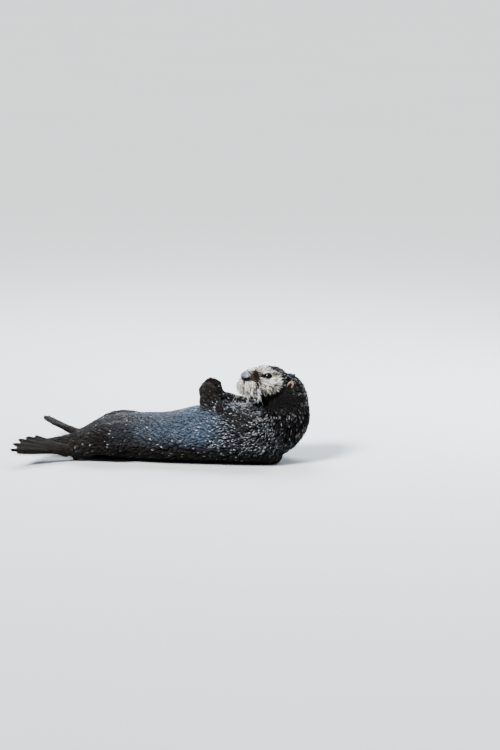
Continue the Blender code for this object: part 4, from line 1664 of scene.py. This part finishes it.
@dataclass
class Eyes:
    """Both eyeballs, with the bulge of the cornea, and the dark wet rims of the lids."""

    eyes: list[Eye]
    cornea: float = 0.55 * MM
    rim: float = 1.15 * MM
    steps: int = 72

    def build(self) -> None:
        """Makes and shows each ball and its lid rims."""
        gloss = EyeGloss().build()
        wet_rim = Leather("lid_rim", (0.007, 0.0055, 0.005), (0.003, 0.0025, 0.002), 0.42, 1400.0, 0.0001)
        finish = wet_rim.build()
        for (side, _), eye in zip(SIDES, self.eyes):
            axes = np.stack([eye.along, eye.across, eye.look])
            if np.linalg.det(axes) < 0:
                axes[0] = -axes[0]
            shape, directions = ball(np.full(3, eye.radius), axes, eye.centre, 48, 32)
            off = np.arccos(np.clip(directions[:, 2], -1.0, 1.0)) / (math.pi / 2)
            bulge = self.cornea * ease(0.62, 0.30, off)
            place_all(shape, eye.centre + directions * (eye.radius + bulge)[:, None] @ axes)
            made = object_from(shape, f"eyeball_{side}")
            add_attribute(made.data, "off_axis", off)
            show(made, "eye", gloss, f"eye_{side}")
            self._rims(eye, side, finish)

    def _rims(self, eye: Eye, side: str, finish: bpy.types.Material) -> None:
        """A soft dark rim along the edge of both lids.

        Args:
            eye: The eye.
            side: "left" or "right".
            finish: The material.
        """
        turns = np.linspace(0.0, 2.0 * math.pi, self.steps, endpoint=False)
        flat = eye.opening(turns)
        over = np.sqrt(np.maximum((eye.radius + 0.35 * MM) ** 2 - (flat**2).sum(axis=1), 1e-8))
        line = eye.centre + flat[:, :1] * eye.along + flat[:, 1:] * eye.across + over[:, None] * eye.look
        line = np.concatenate([line, line[:1]])
        thick = self.rim * (1.0 + 0.25 * np.sin(np.append(turns, 0.0)))
        made = tube(f"lid_rim_{side}", [(line, thick)], 2)
        add_attribute(made.data, "hollow", np.full(len(made.data.vertices), 0.85))
        show(made, "nose_leather", finish)


@dataclass
class Nose:
    """The broad leathery nose pad, with comma-shaped nostrils and a furrow down its middle."""

    anatomy: Anatomy
    radii: Array = field(default_factory=lambda: np.array([1.12, 2.10, 1.62]) * CM)
    nostril: tuple = (0.50, -0.70)  # sideways and up, over the pad's radii
    comma: tuple = ((0.26, -0.76), (0.55, -0.70), (0.80, -0.50), (0.93, -0.30))  # its line, likewise
    square: float = 3.3  # of the pad's lower half: 2 is round, and more is squarer

    def build(self) -> None:
        """Makes and shows the pad."""
        centre = self.anatomy.middle("nose")
        shape, way = ball(self.radii, self.anatomy.axes, centre, 128, 84)
        front = ease(-0.35, 0.20, way[:, 0])
        power = blend(2.2, self.square, ease(0.35, -0.35, way[:, 2]))
        local = way * ((np.abs(way) ** power[:, None]).sum(axis=1) ** (-1.0 / power))[:, None]
        side, rise = np.abs(local[:, 1]), local[:, 2].copy()
        face = np.stack([side, rise], axis=1)
        hole_side, hole_rise = (face - self.nostril).T
        lean = hole_side * 0.95 + hole_rise * 0.31
        slant = hole_rise * 0.95 - hole_side * 0.31
        hole = near(np.stack([lean, slant], axis=1), (0.0, 0.0), (0.36, 0.22)) * front
        slit = bell(along_line(face, self.comma), 0.085) * front
        furrow = bell(side, 0.06) * ease(0.15, -0.45, rise) * front
        wing = near(face, (0.66, -0.28), (0.30, 0.20)) * front
        dip = near(face, (0.0, -0.10), (0.34, 0.5)) * front
        depth = 3.0 * MM * slit + 2.0 * MM * furrow - 1.3 * MM * wing + 1.4 * MM * dip
        local[:, 1] *= 1.0 - 0.30 * ease(0.0, 1.0, rise)
        local[:, 0] = np.where(local[:, 0] > 0, local[:, 0] * 0.86, local[:, 0])
        local *= self.radii
        local -= way * np.array([1.0, 0.30, 0.30]) * depth[:, None]
        local[:, 0] -= 9.5 * MM * hole
        place_all(shape, centre + local @ self.anatomy.axes)
        made = object_from(shape, "nose_pad")
        # Painted shade: darker towards the bottom and the outer sides of the pad.
        low = 0.42 * ease(0.10, -0.55, rise) + 0.30 * ease(0.80, 1.0, side)
        below = np.where(slant < 0.0, 0.36, 0.22)
        dark = np.exp(-((lean / 0.36) ** 2) - (slant / below) ** 2) * front
        # Painted shade: black inside the nostrils, along their slits and down the furrow.
        black = ease(0.14, 0.36, dark) + 0.9 * slit + 0.8 * furrow
        patchy = 0.16 * ripple(way * self.radii, 0.010, 23)
        add_attribute(made.data, "hollow", np.clip(black + low + patchy, 0.0, 1.0))
        # The pale bluish high colour is a painted reflection of the sky on wet, near-black leather.
        finish = Leather("nose_leather", (0.120, 0.130, 0.146), (0.0010, 0.0010, 0.0010), 0.38, 700.0, 0.0006)
        show(made, "nose_leather", finish.build(), "nose")


@dataclass
class Ears:
    """Two small thick ears, rolled into a cup that opens forwards and out."""

    anatomy: Anatomy
    radii: Array = field(default_factory=lambda: np.array([7.2, 9.9, 13.8]) * MM)
    cup: float = 7.5 * MM
    lip: float = 0.74  # the cup's edge, over the ear's radii

    def build(self) -> list[tuple[Array, Array, Array]]:
        """Makes and shows both ears.

        Returns:
            For each ear the places that grow fuzz, their outward directions and the way the fuzz lies.
        """
        finish = Leather("ear_skin", (0.20, 0.150, 0.125), (0.022, 0.015, 0.013), 0.60, 900.0, 0.0004).build()
        furred = []
        for side, sign in SIDES:
            opening = self.anatomy.turned((0.62, 0.76 * sign, -0.05))
            lean = self.anatomy.turned((-0.35, 0.10 * sign, 0.94))
            lean = unit(across_surface(lean, opening))
            axes = np.stack([opening, np.cross(lean, opening), lean])
            centre = self.anatomy.middle(f"ear_{side}") + opening * 1.0 * MM
            shape, way = ball(self.radii, axes, centre, 72, 48)
            ring = np.hypot(way[:, 1], (way[:, 2] + 0.10) * 0.92)
            inward = ease(self.lip, self.lip - 0.36, ring) * (way[:, 0] > 0)
            ridge = bell(way[:, 1] - 0.18, 0.14) * ease(0.3, -0.5, way[:, 2]) * inward
            local = way * self.radii
            tip = ease(0.2, 1.0, way[:, 2])
            local[:, 1] *= 1.0 - 0.16 * tip
            local[:, 0] += -inward * self.cup + ridge * 3.5 * MM - tip * 1.5 * MM
            place_all(shape, centre + local @ axes)
            made = object_from(shape, f"ear_cup_{side}")
            # Painted shade: darker inside the cup, less so on its ridge.
            add_attribute(made.data, "hollow", np.clip(inward * 1.15 - ridge * 0.5, 0.0, 1.0))
            show(made, "ear", finish, f"ear_{side}")
            furred.append(self._fuzz(made, inward < 0.22, lean))
        return furred

    def _fuzz(self, made: bpy.types.Object, grows: Array, lean: Array) -> tuple[Array, Array, Array]:
        """Where fuzz grows on an ear: outside and over the rim, lying towards the tip.

        Args:
            made: The ear.
            grows: True where it may grow.
            lean: The way to the ear's tip.

        Returns:
            Places, outward directions and the way the fuzz lies.
        """
        outward = normals_of(made.data)
        flow = across_surface(lean, outward)
        chosen = grows & (np.linalg.norm(flow, axis=1) > 0.05) & (np.arange(len(flow)) % 2 == 0)
        return points_of(made.data)[chosen], outward[chosen], unit(flow[chosen])


# --- whiskers and claws ---
@dataclass
class Whiskers:
    """Long stiff whiskers on both pads, and a few over each eye."""

    anatomy: Anatomy
    skin: Skin
    rows: int = 5
    in_row: int = 5
    brow_whiskers: int = 5
    near_share: float = 0.6  # how many whiskers stand on the side the head is turned to
    segments: int = 9
    thickness: float = 0.40 * MM

    def build(self) -> None:
        """Makes and shows all the whiskers as one piece."""
        self.dice = np.random.default_rng(RANDOM_SEED + 7)
        triangles = triangles_of(self.skin.obj.data)
        self.surface = BVHTree.FromPolygons(self.skin.places.tolist(), triangles.tolist())
        paths = []
        for _, sign in SIDES:
            for row in range(self.rows):
                for column in range(self.in_row):
                    if sign < 0 or self.dice.uniform() <= self.near_share:
                        paths.append(self._on_pad(sign, column / (self.in_row - 1), row / (self.rows - 1)))
            for index in range(self.brow_whiskers):
                start = (4.6 - 0.5 * index, (2.7 + 0.45 * index) * sign, 3.2)
                lean = (0.1 - 0.2 * index, 0.5 * sign, 0.9)
                paths.append(self._whisker(start, lean, self.dice.uniform(0.018, 0.032), 0.35))
        made = tube("whiskers", paths, 1)
        share = np.concatenate([np.arange(len(line)) / (len(line) - 1) for line, _ in paths])
        along = share[nearest_of(np.concatenate([line for line, _ in paths]), points_of(made.data))]
        add_attribute(made.data, "along", along)
        show(made, "head_fur", Horn("whisker_horn", (0.62, 0.60, 0.56), (0.88, 0.87, 0.84), 0.35).build())

    def _on_pad(self, sign: float, back: float, down: float) -> tuple[Array, Array]:
        """One whisker of a pad: the rear ones longer, the front ones turned forward.

        Args:
            sign: 1 on the head's left.
            back: How far back on the pad it stands, from 0 to 1.
            down: How far down, likewise.

        Returns:
            Its points and radii.
        """
        start = (9.4 - 3.9 * back, (1.3 + 2.9 * back**0.8) * sign, -1.5 - 2.9 * down)
        start = np.array(start) + self.dice.normal(0.0, 0.12, 3)
        lean = (0.75 - 0.95 * back, (0.50 + 0.45 * back) * sign, -0.15 - 0.55 * down)
        length = (0.020 + 0.018 * back + 0.006 * math.sin(math.pi * down)) * self.dice.uniform(0.7, 1.4)
        return self._whisker(start, lean, length * (0.8 if sign > 0 else 1.15), 0.30)

    def _whisker(
        self, start: Sequence[float], lean: Sequence[float], length: float, sag: float
    ) -> tuple[Array, Array]:
        """A whisker's line and its radius along it.

        Args:
            start: Near its root, in the head's centimetres.
            lean: The way it sets out, on the head's axes.
            length: In metres.
            sag: How far it droops, over its length.

        Returns:
            Its points and radii.
        """
        dice = self.dice
        root, normal, _, _ = self.surface.find_nearest(self.anatomy.from_head(start).tolist())
        way = unit(self.anatomy.turned(lean) + 0.35 * np.array(normal) + dice.normal(0.0, 0.10, 3))
        t = np.linspace(0.0, 1.0, self.segments)[:, None]
        bow = unit(np.cross(way, dice.normal(0.0, 1.0, 3))) * dice.uniform(0.0, 0.22)
        line = np.array(root) - np.array(normal) * MM + way * length * t + bow * length * t**2
        line[:, 2] -= (sag * dice.uniform(0.5, 1.5) * length * t**2)[:, 0]
        return line, self.thickness * (1.0 - 0.86 * t[:, 0] ** 1.3) * dice.uniform(0.85, 1.1)


@dataclass
class Claws:
    """Short curved claws at the ends of the forepaws' digits and the flippers' toes."""

    anatomy: Anatomy
    skin: Skin
    digits: int = 5

    def build(self) -> None:
        """Makes and shows the claws, one piece for the forepaws and one for the flippers."""
        finish = Horn("claw_horn", (0.035, 0.026, 0.022), (0.010, 0.008, 0.007), 0.34).build()
        for name, part, length, thick, slot in (
            ("claws_fore", "forepaw", 7 * MM, 1.5 * MM, "paw_fur"),
            ("claws_hind", "hind_flipper", 10 * MM, 1.9 * MM, "flipper_fur"),
        ):
            paths = []
            for side, _ in SIDES:
                paths += self._of_part(f"{part}_{side}", length, thick)
            made = tube(name, paths, 2)
            low = np.array([line[0] for line, _ in paths])
            away = np.linalg.norm(points_of(made.data)[:, None] - low[None], axis=2).min(axis=1)
            add_attribute(made.data, "along", np.clip(away / length, 0.0, 1.0))
            show(made, slot, finish)

    def _of_part(self, node: str, length: float, thick: float) -> list[tuple[Array, Array]]:
        """The claws of one paw or flipper, at the farthest skin of each digit's width.

        Args:
            node: The paw or the flipper.
            length: Of a claw, in metres.
            thick: Its radius at the root.

        Returns:
            Each claw's points and radii.
        """
        belongs = self.skin.share[:, FLESH.index(node)] > 0.5
        places, outward = self.skin.places[belongs], self.skin.outward[belongs]
        line = self.anatomy.guides[node].points
        along = unit(line[1] - line[0])
        flat = places - line[0]
        spread = flat - np.outer(flat @ along, along)
        across = np.linalg.svd(spread - spread.mean(axis=0), full_matrices=False)[2][0]
        turn = np.arctan2(flat @ across, flat @ along)
        far = np.linalg.norm(flat, axis=1) > 0.55 * np.linalg.norm(flat, axis=1).max()
        marks = np.linspace(*np.percentile(turn[far], (1, 99)), self.digits + 1)
        made = []
        for low, high in zip(marks, marks[1:]):
            inside = far & (turn >= low) & (turn <= high)
            reach = np.linalg.norm(flat, axis=1) * inside
            tip = int(reach.argmax())
            way = unit(unit(flat[tip]) + 0.2 * outward[tip])
            t = np.linspace(0.0, 1.0, 6)[:, None]
            curl = unit(np.cross(np.cross(along, across), along))
            curl = curl if curl[2] < 0 else -curl
            points = places[tip] - way * 2.5 * MM + way * length * t + curl * length * 0.28 * t**2
            made.append((points, thick * (1.0 - 0.9 * t[:, 0] ** 1.5)))
        return made


# --- studio ---
def point_at(obj: bpy.types.Object, place: Vector, way: Vector) -> None:
    """Puts a lamp or a camera at a place, turned to look a given way."""
    obj.location = place
    obj.rotation_mode, obj.rotation_quaternion = "QUATERNION", way.to_track_quat("-Z", "Y")


@dataclass
class Studio:
    """The plain pale floor, soft lights and the camera."""

    anatomy: Anatomy
    azimuth: float = math.radians(10.0)
    elevation: float = math.radians(12.0)
    distance: float = 9.0
    view_height: float = 2.475  # what the picture's long side spans at the otter
    eye_right_of_middle: float = 0.0587  # where the near eye lies in the picture, in metres at the otter
    eye_below_middle: float = 0.0046
    sensor: float = 36.0  # millimetres, along the picture's long side
    floor_half: float = 60.0
    lit: tuple = (0.1, 0.0, 0.15)  # where the softboxes face

    def build(self) -> None:
        """Makes the floor, the lights, the world and the camera."""
        self._floor()
        self._world()
        sun = {"angle": math.radians(18.0)}
        self._lamp("key", "SUN", (0.0, 0.0, 0.0), (1.4, 1.9, -2.35), 10.5, (1.0, 0.975, 0.94), **sun)
        for name, place, size, power, colour in (
            ("sky_softbox", (-0.3, 1.7, 2.8), (2.4, 2.0), 190.0, (0.86, 0.93, 1.0)),
            ("rim_softbox", (1.9, 1.3, 1.5), (0.9, 0.8), 60.0, (0.95, 0.97, 1.0)),
        ):
            box = {"shape": "ELLIPSE", "size": size[0], "size_y": size[1]}
            self._lamp(name, "AREA", place, self.lit, power, colour, **box)
        self._camera()
        bpy.context.scene.view_settings.look = "AgX - Medium High Contrast"

    def _floor(self) -> None:
        """A flat floor that reaches past the picture."""
        shape = bmesh.new()
        bmesh.ops.create_grid(shape, x_segments=4, y_segments=4, size=self.floor_half)
        floor = object_from(shape, "floor")
        floor.data.materials.append(StudioFloor().build())

    def _world(self) -> None:
        """Even pale light from all round."""
        world = bpy.data.worlds.new("studio")
        bpy.context.scene.world = world
        world.use_nodes = True
        sky = world.node_tree.nodes["Background"]
        sky.inputs["Color"].default_value = (0.68, 0.83, 1.0, 1.0)
        sky.inputs["Strength"].default_value = 0.30

    def _lamp(
        self, name: str, kind: str, place: Colour, aim: Colour, power: float, colour: Colour,
        **shape: float | str,
    ) -> None:  # fmt: skip
        """A lamp of the studio.

        Args:
            name: Its name.
            kind: "SUN" or "AREA".
            place: Where it stands.
            aim: Where it faces.
            power: In watts, or in watts a square metre for a sun.
            colour: Of its light.
            shape: Its sizes and its outline.
        """
        lamp = bpy.data.lights.new(name, kind)
        lamp.energy, lamp.color = power, colour
        for key, value in shape.items():
            setattr(lamp, key, value)
        point_at(link(name, lamp), Vector(place), Vector(aim) - Vector(place))

    def _camera(self) -> None:
        """A long lens, a little above the floor, with the head right of the middle."""
        lens = bpy.data.cameras.new("camera")
        lens.sensor_width = self.sensor
        lens.lens = self.sensor * self.distance / self.view_height
        lens.clip_end = 4.0 * self.floor_half
        camera = link("camera", lens)
        sin_a, cos_a = math.sin(self.azimuth), math.cos(self.azimuth)
        sin_e, cos_e = math.sin(self.elevation), math.cos(self.elevation)
        back = Vector((sin_a * cos_e, -cos_a * cos_e, sin_e))
        right, up = Vector((cos_a, sin_a, 0.0)), Vector((-sin_a * sin_e, cos_a * sin_e, cos_e))
        aim = Vector(self.anatomy.middle("eye_left")) - right * self.eye_right_of_middle
        aim += up * self.eye_below_middle
        point_at(camera, aim + back * self.distance, -back)
        bpy.context.scene.camera = camera


def corners(box: tuple[Vector, Vector]) -> list[list[float]]:
    """A box as plain numbers."""
    return [list(corner) for corner in box]


def main() -> None:
    """Builds the otter's looks in order."""
    logging.basicConfig(level=logging.INFO, format="%(name)s: %(message)s")
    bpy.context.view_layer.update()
    anatomy = Anatomy(frame["nodes"])
    eyes = [make_eye(anatomy, side, sign) for side, sign in SIDES]
    markings = Markings(anatomy, eyes)
    skin = Skin(anatomy, eyes)
    skin.build()
    skin.dress(markings)
    ears = Ears(anatomy).build()
    Coat(skin, markings, ears).build()
    Eyes(eyes).build()
    Nose(anatomy).build()
    Whiskers(anatomy, skin).build()
    Claws(anatomy, skin).build()
    Studio(anatomy).build()


if __name__ == "__main__":
    main()
